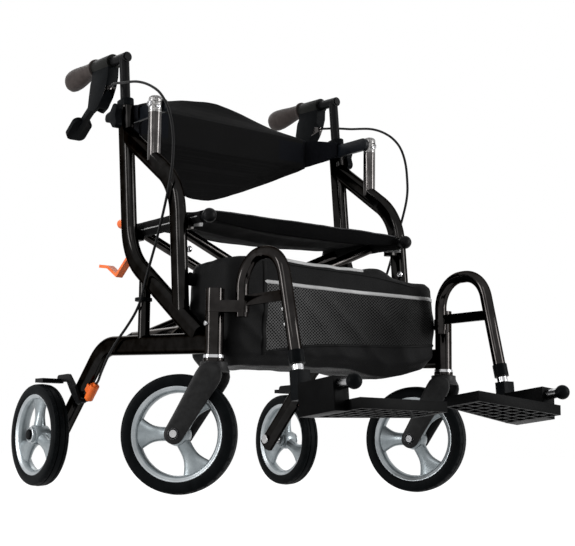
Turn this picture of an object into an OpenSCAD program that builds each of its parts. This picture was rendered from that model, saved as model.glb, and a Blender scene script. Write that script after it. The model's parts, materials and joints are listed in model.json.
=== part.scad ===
// Rollator transport chair: two folding side frames, a cross brace, a sling seat, a
// reversible back belt, height-adjustable handles with loop brakes and swing-away footrests.
// +Z is up, the front of the chair faces -Y, and the right-hand side frame stands at -X.
// Side profiles are written as [y, z] points with y = 0 on the caster swivel axis.

/* [Side frames] */
// Distance from the middle of the chair to each side frame
frame_x = 263; // [256:0.5:268]
// Height of the flat-oval frame tube's section
tube_h = 37; // [34:0.5:42]
// Thickness of the flat-oval frame tube's section
tube_w = 23; // [22.5:0.25:25]
// Backward lean of the upright in degrees
lean = 6.5; // [4:0.5:8]
// Distance of the upright's lower bend behind the caster axis
corner_y = 300; // [290:1:310]
// Height of the upright's lower bend
corner_z = 439; // [430:1:448]
// Slope of the diagonal below the upright's bend in degrees
diagonal_slope = 34; // [33:0.5:35]
// Height of the upright's open top end
upright_top_z = 735; // [728:1:742]
// Distance of the arm tube's bend behind the caster axis
arm_corner_y = 137; // [130:1:144]
// Height of the arm tube's bend
arm_corner_z = 553; // [545:1:560]
// Slope of the arm tube above its bend in degrees
arm_slope = 34; // [32:0.5:36]
// Centreline radius of the bends in the upright and the arm tube
bend_r = 120; // [100:5:130]
// Height of the lower rail at the caster head
rail_front_z = 256; // [252:1:260]
// Distance of the lower rail's rear bend behind the caster axis
rail_corner_y = 391; // [380:1:400]
// Height of the lower rail's rear bend
rail_corner_z = 272; // [266:1:278]
// Centreline radius of the lower rail's rear bend
rail_bend_r = 90; // [70:5:100]
// Length of the lower rail past the rear axle
rail_tail = 18; // [14:1:24]
// Diameter of the short strut between the diagonal and the lower rail
strut_d = 22; // [16:1:22]
// Distance of the strut behind the caster axis
strut_y = 241; // [230:1:250]

/* [Wheels] */
// Outside diameter of all four wheels
wheel_d = 203.2; // [195:0.2:205]
// Width of the tyres
tyre_w = 34; // [28:1:36]
// Height of the tyre section above the rim
tyre_h = 21.5; // [18:0.5:24]
// Diameter of the wheel axles
axle_d = 12; // [10:0.5:12]
// Distance of the rear axle behind the caster axis
rear_axle_y = 564; // [550:1:580]
// Distance from the middle of the chair to the middle of each rear wheel
rear_wheel_x = 308; // [306:1:314]
// Number of spokes in each wheel
spokes = 3; // [3:1:3]

/* [Casters] */
// Distance from the middle of the chair to each caster swivel axis
caster_x = 266; // [260:1:270]
// Distance of a front wheel's centre behind its swivel axis
trail = 59; // [50:1:64]
// Turn of the right caster in degrees
caster_turn = 39.5; // [0:0.1:45]
// Turn of the left caster in degrees
left_caster_turn = 24; // [0:0.1:45]
// Outside diameter of the caster head tube
head_d = 32; // [30:0.5:34]
// Height of the lower end of the caster head tube
head_bottom_z = 235; // [232:1:238]
// Height of the joint between the head tube and the footrest collar
head_top_z = 307; // [302:1:312]
// Diameter of the caster stem
stem_d = 16; // [12:0.5:18]
// Thickness of a caster fork blade
blade_t = 5; // [4:0.5:6]

/* [Seat and cross brace] */
// Distance from the middle of the chair to each seat rail
rail_x = 232.5; // [229:0.5:233]
// Height of the seat rails
seat_z = 490; // [486:1:496]
// Diameter of the seat rails
seat_rail_d = 18; // [16:0.5:18.5]
// Front end of the seat rails behind the caster axis
seat_front_y = 74; // [70:1:84]
// Rear end of the seat rails behind the caster axis
seat_rear_y = 330; // [328:1:331]
// Diameter of the balls on the front ends of the seat rails
ball_d = 26; // [22:1:26]
// Height of the brace pivots on the lower rails
pivot_z = 288; // [286:1:294]
// Diameter of the brace tubes
brace_d = 19.5; // [17:0.5:20]
// Diameter of the brace pivot rods
pivot_d = 11; // [9:0.5:11.5]
// Thickness of the seat sling
sling_t = 5; // [4:0.5:8]
// Sag of the seat sling at its middle
sling_sag = 7; // [4:1:12]
// Depth of the apron on the front edge of the seat
apron_h = 26; // [16:1:34]

/* [Handles] */
// Diameter of the handle post
post_d = 19.6; // [18:0.2:20]
// Length of the handle post inside the upright
post_in = 200; // [160:5:210]
// Rise of the handle bar's front end above the top of the upright
handle_rise = 103; // [92:1:120]
// Diameter of the handle bar
bar_d = 20; // [18:0.5:21]
// Rise of the handle bar towards the rear in degrees
bar_rise = 2; // [0:0.5:4]
// Length of the hand grip
grip_l = 122; // [110:1:124]
// Diameter of the hand grip
grip_d = 34; // [30:0.5:38]
// Width of the brake housing
housing_w = 24; // [22:0.5:25]
// Thickness of the brake lever
lever_t = 12; // [9:0.5:12]

/* [Backrest] */
// Diameter of the backrest posts
back_post_d = 25; // [23:0.5:25]
// Height of the backrest hinge
back_z = 718; // [712:1:724]
// Distance of the backrest hinge behind the caster axis
back_y = 221; // [214:1:228]
// Thickness of the backrest arms
back_arm_t = 7; // [5:0.5:7]
// Height of the backrest arms
back_arm_h = 26; // [22:1:30]
// Height of the belt's upper edge above the backrest hinge at the middle
belt_up = 80; // [62:1:92]
// Depth of the belt's lower edge below the backrest hinge at the middle
belt_down = 126; // [103:1:133]
// Radius of the belt's bow
belt_r = 423; // [410:1:440]
// Thickness of the belt
belt_t = 14; // [10:0.5:16]

/* [Storage bag] */
// Clearance between the bag and the frame on each side
bag_clear = 16.5; // [14:0.5:26]
// Depth of the bag from front to back
bag_d = 140; // [120:1:142]
// Height of the bag
bag_h = 200; // [180:1:204]
// Radius of the bag's corners
bag_r = 36; // [30:1:44]

/* [Footrests] */
// Distance from the middle of the chair to each footrest
foot_x = 231; // [228:0.5:233]
// Diameter of the footrest tube
hanger_d = 22; // [21:0.5:23]
// Diameter of the chrome leg extension
leg_d = 19; // [17:0.5:19.2]
// Height of the footrest hinge rod at its front end
plate_hinge_z = 181; // [178:1:186]
// Diameter of the footrest hinge rod
plate_rod_d = 17; // [15:0.5:18]
// Width of a footplate's tread
plate_w = 186; // [170:1:190]
// Thickness of a footplate's edge
plate_t = 17; // [14:0.5:18]
// Upward tilt of the toe edge in degrees
toe_tilt = 6; // [2:0.5:8]
// Lift of the left footplate about its hinge in degrees
left_plate_lift = 6; // [0:0.5:8]

/* [Fits] */
// Radial clearance of the turning and sliding fits
fit = 0.05; // [0.02:0.01:0.1]
// Gap between neighbouring pieces that move apart
gap = 0.4; // [0.3:0.1:0.6]

/* [Hidden] */
$fn = 64;

RIGHT = -1;
LEFT = 1;

// Finish colours
frame_black = [0.10, 0.09, 0.09];
dark_chrome = [0.30, 0.28, 0.27];
bright_chrome = [0.75, 0.75, 0.77];
charcoal = [0.16, 0.17, 0.19];
taupe = [0.30, 0.26, 0.25];
orange = [0.94, 0.39, 0.14];
silver = [0.66, 0.69, 0.72];
rubber = [0.07, 0.07, 0.07];
cloth_black = [0.08, 0.08, 0.09];

// Whole-chair placing: the origin is on the floor under the middle of the outline
wheel_r = wheel_d / 2;
knob_front_y = -343;
mid_y = (rear_axle_y + wheel_r + knob_front_y) / 2;
axle_head_t = 5;
hub_w = 40;
left_reach = rear_wheel_x + hub_w / 2 + gap + axle_head_t;
right_reach = caster_x + (trail + wheel_r - tyre_w / 2) * sin(caster_turn) + tyre_w / 2;
mid_x = (left_reach - max(left_reach, right_reach)) / 2;

// Frame tube half sizes
tube_a = tube_h / 2;
tube_b = tube_w / 2;
inner_x = frame_x - tube_b;

// Profile lines of the side frame
function upright_y(z) = corner_y + (z - corner_z) * tan(lean);
function diagonal_z(y) = corner_z - (corner_y - y) * tan(diagonal_slope);
function rail_z(y) = rail_front_z + y * (rail_corner_z - rail_front_z) / rail_corner_y;
rail_drop = atan2(rail_corner_z - wheel_r, rear_axle_y - rail_corner_y);
arm_rise = tan(arm_slope);
arm_top_y = (corner_y + (arm_corner_z - corner_z - arm_corner_y * arm_rise) * tan(lean))
  / (1 - arm_rise * tan(lean));
arm_top_z = arm_corner_z + (arm_top_y - arm_corner_y) * arm_rise;
diagonal_foot_y = 52;
arm_foot_y = 113;
rail_points = [
  [0, rail_front_z], [rail_corner_y, rail_corner_z],
  [rear_axle_y + rail_tail * cos(rail_drop), wheel_r - rail_tail * sin(rail_drop)]
];
upright_points = [
  [diagonal_foot_y, diagonal_z(diagonal_foot_y)], [corner_y, corner_z],
  [upright_y(upright_top_z), upright_top_z]
];
arm_points = [
  [arm_foot_y, diagonal_z(arm_foot_y)], [arm_corner_y, arm_corner_z], [arm_top_y, arm_top_z]
];

// Unit vector and turn helpers for profile paths
function unit2(v) = v / norm(v);
function turn2(a, b) = atan2(a[0] * b[1] - a[1] * b[0], a * b);

// Places every sub-part in the chair's own frame, on the right or mirrored to the left
module place(side = RIGHT) {
  translate([-mid_x, -mid_y, 0])
    mirror([side == LEFT ? 1 : 0, 0, 0])
      children();
}

// Turns a drawing in the [y, z] plane up into place at a given x, with its depth along x
module in_profile(x) {
  translate([x, 0, 0])
    rotate([90, 0, 90])
      children();
}

// Flat-oval section, a along the first axis and b along the second
module oval(a, b) {
  if (a > b)
    square([2 * (a - b), 2 * b], center = true);
  if (a > b)
    for (e = [-1, 1])
      translate([e * (a - b), 0])
        circle(r = b);
  else
    circle(r = b);
}

// Flat strap with two round ends of different radius
module strap(p, rp, q, rq) {
  d = norm(q - p);
  way = atan2(q[1] - p[1], q[0] - p[0]);
  open = acos((rp - rq) / d);
  translate(p)
    circle(r = rp);
  translate(q)
    circle(r = rq);
  polygon([
    p + rp * [cos(way + open), sin(way + open)], p + rp * [cos(way - open), sin(way - open)],
    q + rq * [cos(way - open), sin(way - open)], q + rq * [cos(way + open), sin(way + open)]
  ]);
}

// Tube along a profile path with a rounded bend at each inner point. The straight runs reach a
// little way into the bends and stand a hair proud of them.
lap_share = 1 / 60;
proud = 0.1;
module tube_path(pts, bend, a, b) {
  n = len(pts);
  over = bend * lap_share;
  way = [for (i = [0:n - 2]) unit2(pts[i + 1] - pts[i])];
  turn = [for (i = [0:n - 1]) i == 0 || i == n - 1 ? 0 : turn2(way[i - 1], way[i])];
  cut = [for (i = [0:n - 1]) i == 0 || i == n - 1 ? 0 : bend * tan(abs(turn[i]) / 2) - over];
  for (i = [0:n - 2]) {
    start = pts[i] + cut[i] * way[i];
    run = norm(pts[i + 1] - pts[i]) - cut[i] - cut[i + 1];
    translate(start)
      rotate([0, 0, atan2(way[i][1], way[i][0])])
        rotate([0, 90, 0])
          linear_extrude(height = run)
            rotate([0, 0, 90])
              oval(a + proud, b + proud);
  }
  for (i = [1:n - 2]) {
    hand = turn[i] > 0 ? 1 : -1;
    normal = hand * [-way[i - 1][1], way[i - 1][0]];
    centre = pts[i] - (cut[i] + over) * way[i - 1] + bend * normal;
    first = atan2(-normal[1], -normal[0]);
    translate(centre)
      rotate([0, 0, hand > 0 ? first : first + turn[i]])
        rotate_extrude(angle = abs(turn[i]), $fn = 96)
          translate([bend, 0])
            oval(a, b);
  }
}

// Round bar between two points in space
module bar(p, q, r) {
  v = q - p;
  translate(p)
    rotate([0, acos(v[2] / norm(v)), atan2(v[1], v[0])])
      cylinder(h = norm(v), r = r);
}

// Bar along x centred on a profile point
module x_bar(x0, x1, y, z, r) {
  translate([x0, y, z])
    rotate([0, 90, 0])
      cylinder(h = x1 - x0, r = r);
}

// Bar along y centred on an x and a z
module y_bar(x, z, y0, y1, r) {
  translate([x, y1, z])
    rotate([90, 0, 0])
      cylinder(h = y1 - y0, r = r);
}

// Side frame tubes, and the same tubes a weld's width larger for coping what meets them
weld = 0.15;
module rail_tube(extra = 0) {
  in_profile(-frame_x)
    tube_path(rail_points, rail_bend_r, tube_a + extra, tube_b + extra);
}

module upright_tube(extra = 0) {
  in_profile(-frame_x)
    tube_path(upright_points, bend_r, tube_a + extra, tube_b + extra);
}

module head_cut() {
  translate([-caster_x, 0, 0])
    cylinder(h = 2 * head_top_z, d = head_d);
}

// Pivot rod for the brace, held by two lugs on the inside of the lower rail
lug_t = 6;
lug_y = [156, 326];
module brace_lugs() {
  for (y = lug_y)
    translate([-frame_x, y + lug_t, 0])
      rotate([90, 0, 0])
        linear_extrude(height = lug_t)
          strap([0, rail_z(y)], tube_b - 2, [frame_x - rail_x, pivot_z], brace_d / 2);
  y_bar(-rail_x, pivot_z, lug_y[0] + 1, lug_y[1] + lug_t - 1, pivot_d / 2);
}

module strut() {
  translate([-frame_x, strut_y, rail_z(strut_y)])
    cylinder(h = diagonal_z(strut_y) - rail_z(strut_y), d = strut_d);
}

module lower_rail(side) {
  color(frame_black)
    place(side) {
      difference() {
        rail_tube();
        head_cut();
        x_bar(-2 * frame_x, 0, rear_axle_y, wheel_r, axle_d / 2 + fit);
        x_bar(-2 * frame_x, gap - frame_x, brake_pivot[0], brake_pivot[1], brake_pin_d / 2 + fit);
      }
      brace_lugs();
      difference() {
        strut();
        upright_tube(weld);
      }
    }
}

// Cradle that holds a seat rail up while the chair is open, on a neck from a frame tube's flat side
cradle_l = 26;
cradle_h = 20;
cradle_lip = 5;
neck_l = 10;
neck_h = 14;
module cradle(y) {
  rail_r = seat_rail_d / 2;
  difference() {
    translate([2 - inner_x, y - cradle_l / 2, seat_z - cradle_h])
      cube([inner_x - 2 - rail_x - cradle_lip, cradle_l, cradle_h]);
    y_bar(-rail_x, seat_z, y - cradle_l, y + cradle_l, rail_r + gap);
  }
  translate([-1 - inner_x, y - neck_l / 2, seat_z - cradle_h + 3])
    cube([5, neck_l, neck_h]);
}

// The handle post slides in a bore down the upright's axis
post_bore_r = post_d / 2 + fit;
post_room = 40;
knob_z = 712;
stud_d = 8;
module upright_axis(z) {
  translate([-frame_x, upright_y(z), z])
    rotate([-lean, 0, 0])
      children();
}

module upright(side) {
  color(frame_black)
    place(side)
      difference() {
        union() {
          upright_tube();
          cradle(upright_y(seat_z));
        }
        rail_tube(weld);
        head_cut();
        upright_axis(upright_top_z)
          translate([0, 0, -post_in - post_room])
            cylinder(h = post_in + post_room + 1, r = post_bore_r);
        x_bar(-2 * frame_x, -frame_x, upright_y(knob_z), knob_z, stud_d / 2 + fit);
      }
}

// The arm tube carries the backrest post on its slope
post_foot_z = arm_corner_z + (back_y - arm_corner_y) * arm_rise;
function arm_y(z) = arm_corner_y
  - (arm_corner_z - z) * (arm_corner_y - arm_foot_y) / (arm_corner_z - diagonal_z(arm_foot_y));
module back_post() {
  reach = back_z - post_foot_z;
  translate([-frame_x, back_y, post_foot_z])
    rotate_extrude()
      intersection() {
        union() {
          square([back_post_d, 2 * reach], center = true);
          translate([0, reach])
            circle(d = back_post_d);
        }
        square([back_post_d, reach + 0.45 * back_post_d]);
      }
}

module arm_tube(side) {
  color(frame_black)
    place(side)
      difference() {
        union() {
          in_profile(-frame_x)
            tube_path(arm_points, bend_r, tube_a, tube_b);
          cradle(arm_y(seat_z));
          back_post();
        }
        upright_tube(weld);
        x_bar(-2 * frame_x, 0, back_y, back_z, back_pin_d / 2);
      }
}

// Caster head: stem bore below, footrest socket above, a lock button at the side
pin_d = 16;
socket_floor_z = 263;
stem_top_z = 259;
button_z = 288;
button_d = 8;
bearing_h = 11;
module caster_head(side) {
  color(dark_chrome)
    place(side)
      translate([-caster_x, 0, 0])
        difference() {
          union() {
            translate([0, 0, head_bottom_z])
              cylinder(h = head_top_z - head_bottom_z, d = head_d);
            translate([0, 0, head_bottom_z - bearing_h])
              cylinder(h = bearing_h, d = head_d + 4);
          }
          translate([0, 0, head_bottom_z - bearing_h - 1])
            cylinder(h = stem_top_z - head_bottom_z + bearing_h + 1, d = stem_d + 2 * fit);
          translate([0, 0, socket_floor_z])
            cylinder(h = head_top_z - socket_floor_z + 1, d = pin_d + 2 * fit);
          x_bar(-head_d, 0, 0, button_z, button_d / 2 + fit);
        }
}

button_reach = 3.5;
button_travel = 3;
module release_button(side) {
  color(charcoal)
    place(side)
      x_bar(-caster_x - head_d / 2 - button_reach, -caster_x - pin_d / 2 - gap - button_travel,
        0, button_z, button_d / 2);
}

// Pin that carries a footrest: its lower half in the head's socket, its upper half in the collar
pin_top_z = 344;
module footrest_pin(side) {
  color(bright_chrome)
    place(side)
      translate([-caster_x, 0, socket_floor_z + gap])
        cylinder(h = pin_top_z - socket_floor_z - gap, d = pin_d);
}

// Rear axle bolt with its head inside the rail and a washer outside the wheel
module rear_axle(side) {
  color(bright_chrome)
    place(side) {
      x_bar(-rear_wheel_x - hub_w / 2 - gap - axle_head_t, weld - inner_x,
        rear_axle_y, wheel_r, axle_d / 2);
      x_bar(weld - inner_x, weld - inner_x + axle_head_t, rear_axle_y, wheel_r, axle_d / 2 + 4);
      x_bar(-rear_wheel_x - hub_w / 2 - gap - axle_head_t, -rear_wheel_x - hub_w / 2 - gap,
        rear_axle_y, wheel_r, axle_d / 2 + 4);
      x_bar(-rear_wheel_x + hub_w / 2 + gap, -frame_x - tube_b - weld,
        rear_axle_y, wheel_r, axle_d / 2 + 2.5);
    }
}

// Collar on the upright's top end that steadies the handle post
collar_h = 15;
collar_wall = 1.2;
module height_collar(side) {
  color(charcoal)
    place(side)
      upright_axis(upright_top_z)
        difference() {
          linear_extrude(height = collar_h)
            rotate([0, 0, 90])
              oval(tube_a + collar_wall, tube_b + collar_wall);
          translate([0, 0, -1])
            cylinder(h = collar_h + 2, r = post_bore_r);
        }
}

// Star knob that clamps the post
knob_t = 14;
knob_lobe_r = 9;
knob_reach = 17;
knob_boss_l = 6;
module height_knob(side) {
  outer = frame_x + tube_b;
  color(charcoal)
    place(side)
      translate([-outer, upright_y(knob_z), knob_z])
        rotate([0, -90, 0]) {
          translate([0, 0, gap])
            cylinder(h = knob_boss_l, d = 2 * stud_d);
          translate([0, 0, -(tube_b - post_d / 2 - gap)])
            cylinder(h = tube_b - post_d / 2, d = stud_d);
          translate([0, 0, gap + knob_boss_l])
            linear_extrude(height = knob_t) {
              circle(d = 26);
              for (i = [0:2])
                rotate([0, 0, 90 + 120 * i])
                  strap([0, 0], 12, [knob_reach, 0], knob_lobe_r);
            }
        }
}

// Handle: post, bar and end cap, bent as one piece
handle_z = upright_top_z + handle_rise;
handle_y = upright_y(handle_z);
bar_front = 12.5;
bar_cap = 3;
grip_start = 110;
grip_wall = 8;
module handle_axis() {
  translate([-frame_x, handle_y, handle_z])
    rotate([bar_rise, 0, 0])
      children();
}

module handle_post(side) {
  color(rubber)
    place(side) {
      upright_axis(upright_top_z)
        translate([0, 0, -post_in])
          cylinder(h = post_in + (handle_z - upright_top_z) / cos(lean), d = post_d);
      handle_axis() {
        y_bar(0, 0, -bar_front, grip_start + grip_l - grip_wall, bar_d / 2);
        y_bar(0, 0, -bar_front - bar_cap, -bar_front, bar_d / 2 - bar_cap);
      }
    }
}

// Ergonomic grip with a palm lobe below the bar
palm_w = 24;
palm_from = 36;
palm_to = 92;
module hand_grip(side) {
  r = grip_d / 2;
  color(taupe)
    place(side)
      handle_axis()
        difference() {
          union() {
            translate([0, grip_start, 0])
              rotate([-90, 0, 0])
                rotate_extrude()
                  polygon([
                    [0, 0], [r + 2, 0], [r + 2, 5], [r - 1, 9], [r - 2, 30], [r, 62],
                    [r - 1, grip_l - 12], [r - 6, grip_l - 2], [r - 9, grip_l], [0, grip_l]
                  ]);
            in_profile(-palm_w / 2)
              linear_extrude(height = palm_w)
                strap([grip_start + palm_from, 5 - r], 12, [grip_start + palm_to, 2 - r], 17);
          }
          y_bar(0, 0, grip_start - 1, grip_start + grip_l - grip_wall, bar_d / 2 + fit);
        }
}

// Brake housing: a clamp on the bar and a body that carries the lever's pivot pin
clamp_from = 42;
clamp_r = 16;
housing_drop = 96;
lever_pivot = [94, -72];
lever_pin_d = 6;
lever_hub_r = 9;
module brake_housing(side) {
  slot = lever_t + 2 * gap;
  color(charcoal)
    place(side)
      handle_axis() {
        difference() {
          union() {
            y_bar(0, 0, clamp_from, grip_start - gap, clamp_r);
            in_profile(-housing_w / 2)
              linear_extrude(height = housing_w)
                polygon([
                  [clamp_from, 6], [grip_start - 2, 6], [grip_start - 2, -24], [grip_start + 4, -34],
                  [lever_pivot[0] + 24, lever_pivot[1] + 12], [lever_pivot[0] + 27, lever_pivot[1] - 12],
                  [lever_pivot[0] + 2, 2 - housing_drop], [lever_pivot[0] - 16, 9 - housing_drop],
                  [clamp_from + 17, 28 - housing_drop], [clamp_from + 6, 47 - housing_drop],
                  [clamp_from, -30]
                ]);
          }
          y_bar(0, 0, 0, grip_start + grip_l, bar_d / 2 + fit);
          translate([-slot / 2, lever_pivot[0] - lever_hub_r - 3, lever_pivot[1] - 40])
            cube([slot, 60, 52]);
        }
        x_bar(-housing_w / 2, housing_w / 2, lever_pivot[0], lever_pivot[1], lever_pin_d / 2);
        ferrule();
      }
}

// Short ferrule where the brake cable leaves the housing
ferrule_z = -52;
ferrule_x = -4;
ferrule_l = 12;
ferrule_y = 45;
ferrule_r = 4;
module ferrule() {
  y_bar(ferrule_x, ferrule_z, ferrule_y, ferrule_y + ferrule_l, ferrule_r);
}

// Brake lever with a wide finger paddle
lever_r = 7;
lever_bend = [128, -84];
paddle_at = [178, -115];
paddle_tilt = -36;
module brake_lever(side) {
  color(charcoal)
    place(side)
      handle_axis()
        difference() {
          union() {
            in_profile(-lever_t / 2)
              linear_extrude(height = lever_t) {
                strap(lever_pivot, lever_hub_r, lever_bend, lever_r);
                strap(lever_bend, lever_r, paddle_at, lever_r - 1);
              }
            translate([0, paddle_at[0], paddle_at[1]])
              rotate([paddle_tilt, 0, 0])
                paddle();
          }
          x_bar(-housing_w, housing_w, lever_pivot[0], lever_pivot[1], lever_pin_d / 2 + fit);
        }
}

paddle_l = 54;
paddle_w = 42;
paddle_t = 11;
paddle_r = 12;
module paddle() {
  translate([0, 0, -paddle_t / 2])
    linear_extrude(height = paddle_t) {
      square([paddle_w, paddle_l - 2 * paddle_r], center = true);
      square([paddle_w - 2 * paddle_r, paddle_l], center = true);
      for (x = [-1, 1], y = [-1, 1])
        translate([x * (paddle_w / 2 - paddle_r), y * (paddle_l / 2 - paddle_r)])
          circle(r = paddle_r);
    }
}

// Brake cable: route points from the ferrule to the adjuster under the rear of the lower rail
cable_d = 5;
cable_sides = 8;
cable_route = [
  [-267, 391, handle_z - 50], [-271, 380, handle_z - 51], [-279, 360, handle_z - 53],
  [-285, 338, handle_z - 57], [-287, 310, handle_z - 63], [-288, 280, handle_z - 68],
  [-288, 250, 764], [-287, 222, 755], [-286, 196, 743], [-285, 172, 728],
  [-285, 152, 709], [-284, 138, 688], [-283, 128, 662], [-282, 123, 634], [-282, 122, 606],
  [-281, 126, 580], [-280, 136, 550], [-279, 149, 518], [-279, 164, 482], [-279, 181, 444],
  [-279, 198, 411], [-279, 213, 380], [-279, 226, 350], [-279, 245, 326], [-280, 270, 304],
  [-280, 296, 286], [-280, 322, 267], [-279, 346, 247], [-275, 368, 231], [-269, 390, 218],
  [-265, 406, 206], [-263, 417, 201]
];
function unit3(v) = v / norm(v);
function cable_way(i) =
  unit3(cable_route[min(i + 1, len(cable_route) - 1)] - cable_route[max(i - 1, 0)]);
module brake_cable(side) {
  n = len(cable_route);
  last = (n - 1) * cable_sides;
  step = 360 / cable_sides;
  rings = [
    for (i = [0:n - 1])
      let (t = cable_way(i), u = unit3(cross(t, [1, 0, 0])), v = cross(t, u))
        for (k = [0:cable_sides - 1])
          cable_route[i] + cable_d / 2 * (cos(step * k) * u + sin(step * k) * v)
  ];
  skin = [
    for (i = [0:n - 2], k = [0:cable_sides - 1])
      let (a = i * cable_sides + k, b = i * cable_sides + (k + 1) % cable_sides)
        each [[a, b, b + cable_sides], [a, b + cable_sides, a + cable_sides]]
  ];
  caps = [
    for (k = [1:cable_sides - 2])
      each [[0, k + 1, k], [last, last + k, last + k + 1]]
  ];
  color(rubber)
    place(side)
      polyhedron(points = rings, faces = concat(skin, caps));
}

// Cable adjuster barrel under the rear slope of the lower rail, on a lug
adjuster_at = [434, 185];
adjuster_l = 34;
adjuster_r = 9;
nipple_r = 4;
nipple_l = 5;
lug_w = 14;
module cable_adjuster(side) {
  color(orange)
    place(side)
      translate([-frame_x, adjuster_at[0], adjuster_at[1]])
        rotate([-rail_drop, 0, 0]) {
          y_bar(0, 0, -adjuster_l / 2, adjuster_l / 2, adjuster_r);
          y_bar(0, 0, -adjuster_l / 2 - nipple_l, -adjuster_l / 2, nipple_r);
          y_bar(0, 0, adjuster_l / 2, adjuster_l / 2 + nipple_l, nipple_r);
          difference() {
            translate([-lug_w / 2, -8, 0])
              cube([lug_w, 16, 3 * adjuster_r]);
            translate([0, 0, adjuster_rail])
              rotate([90, 0, 0])
                linear_extrude(height = 4 * adjuster_l, center = true)
                  rotate([0, 0, 90])
                    oval(tube_a + weld, tube_b + weld);
          }
        }
}

// Distance from the adjuster's axis up to the rail's axis
adjuster_rail = (rear_axle_y - adjuster_at[0]) * sin(rail_drop)
  - (adjuster_at[1] - wheel_r) * cos(rail_drop);

// Brake arm with the pad that presses on the rear tyre
brake_pivot = [480, 190];
brake_pin_d = 8;
arm_t = 6;
pad_gap = 2.4;
pad_t = 9;
pad_l = 34;
pad_from = 532;
brake_tail = [460, 168];
wire_r = 1.5;
wire_play = 3;
brake_knee_y = 504;
brake_rise = 9;
module brake_arm(side) {
  face_x = -frame_x - tube_b - gap;
  top_z = wheel_d + pad_gap;
  tip = [adjuster_at[0], adjuster_at[1]]
    + (adjuster_l / 2 + nipple_l + wire_play) * [cos(rail_drop), -sin(rail_drop)];
  color(charcoal)
    place(side) {
      difference() {
        union() {
          in_profile(face_x - arm_t)
            linear_extrude(height = arm_t) {
              strap(brake_pivot, 10, [brake_knee_y, top_z + brake_rise], 8);
              strap([brake_knee_y, top_z + brake_rise], 8, [pad_from + 10, top_z + brake_rise], 7);
              strap(brake_pivot, 10, brake_tail, 7);
            }
          translate([-rear_wheel_x - 13, pad_from, top_z - 1])
            cube([rear_wheel_x + 13 + face_x, pad_l, pad_t]);
        }
        x_bar(-2 * rear_wheel_x, 0, rear_axle_y, wheel_r, wheel_r + pad_gap);
      }
      x_bar(face_x - 1, -frame_x, brake_pivot[0], brake_pivot[1], brake_pin_d / 2);
      x_bar(face_x - 1, -frame_x, brake_tail[0], brake_tail[1], 4);
      bar([-frame_x, brake_tail[0], brake_tail[1]], [-frame_x, tip[0], tip[1]], wire_r);
    }
}

// Wheels, drawn around the x axis
rim_r = wheel_r - tyre_h;
module wheel_turn() {
  rotate([0, 90, 0])
    rotate_extrude($fn = 128)
      children();
}

module tyre_body() {
  half = tyre_w / 2;
  color(rubber)
    difference() {
      wheel_turn()
        difference() {
          union() {
            translate([wheel_r - half, 0])
              circle(r = half, $fn = 48);
            translate([rim_r, -half + 3])
              square([wheel_r - half - rim_r, tyre_w - 6]);
          }
          square([2 * rim_r, 2 * tyre_w], center = true);
          for (y = [-6, 6])
            translate([wheel_r, y])
              square([4, 1.8], center = true);
        }
    }
}

// Rounded window between two spokes, a wedge that opens from near the hub out to the lip
window_r = 7;
window_foot = [10, 0];
window_foot_r = 1;
window_out = [60, 25];
rim_lip = 12;
function polar(p, s) = p[0] * [cos(p[1]), s * sin(p[1])];
module spoke_window() {
  a = polar(window_out, 1);
  b = polar(window_out, -1);
  strap(window_foot, window_foot_r, a, window_r);
  strap(window_foot, window_foot_r, b, window_r);
  strap(a, window_r, b, window_r);
  polygon([window_foot, a, b]);
  intersection() {
    circle(r = rim_r - rim_lip + 1);
    polygon([a, 2 * a, 2 * b, b]);
  }
}

hub_r = 19;
rim_half = 13;
web_half = 6;
spoke_r = 11;
spoke_flare = 12;
module rim_body() {
  color(silver)
    difference() {
      union() {
        wheel_turn() {
          translate([rim_r - rim_lip, -rim_half])
            square([rim_lip, 2 * rim_half]);
          translate([0, -hub_w / 2])
            square([hub_r - 5, hub_w]);
          translate([0, -rim_half - 2])
            square([hub_r, 2 * rim_half + 4]);
        }
        rotate([0, 90, 0])
          translate([0, 0, -web_half])
            linear_extrude(height = 2 * web_half)
              difference() {
                circle(r = rim_r - rim_lip / 2);
                for (i = [0:spokes - 1])
                  rotate([0, 0, 360 * (i + 0.5) / spokes])
                    spoke_window();
              }
        for (i = [0:spokes - 1])
          rotate([-360 * i / spokes, 0, 0])
            translate([0, 0, -rim_r + rim_lip - 3])
              cylinder(h = rim_r - rim_lip - hub_r + 9, r1 = spoke_flare, r2 = spoke_r);
      }
      x_bar(-hub_w, hub_w, 0, 0, axle_d / 2 + fit);
    }
}

module at_rear_wheel() {
  translate([-rear_wheel_x, rear_axle_y, wheel_r])
    children();
}

module rear_rim(side) {
  place(side)
    at_rear_wheel()
      rim_body();
}

module rear_tyre(side) {
  place(side)
    at_rear_wheel()
      tyre_body();
}

// Both casters trail to the right, so their turn isn't mirrored
module at_caster(side) {
  translate([side * caster_x - mid_x, -mid_y, 0])
    rotate([0, 0, side == RIGHT ? caster_turn : left_caster_turn])
      children();
}

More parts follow.
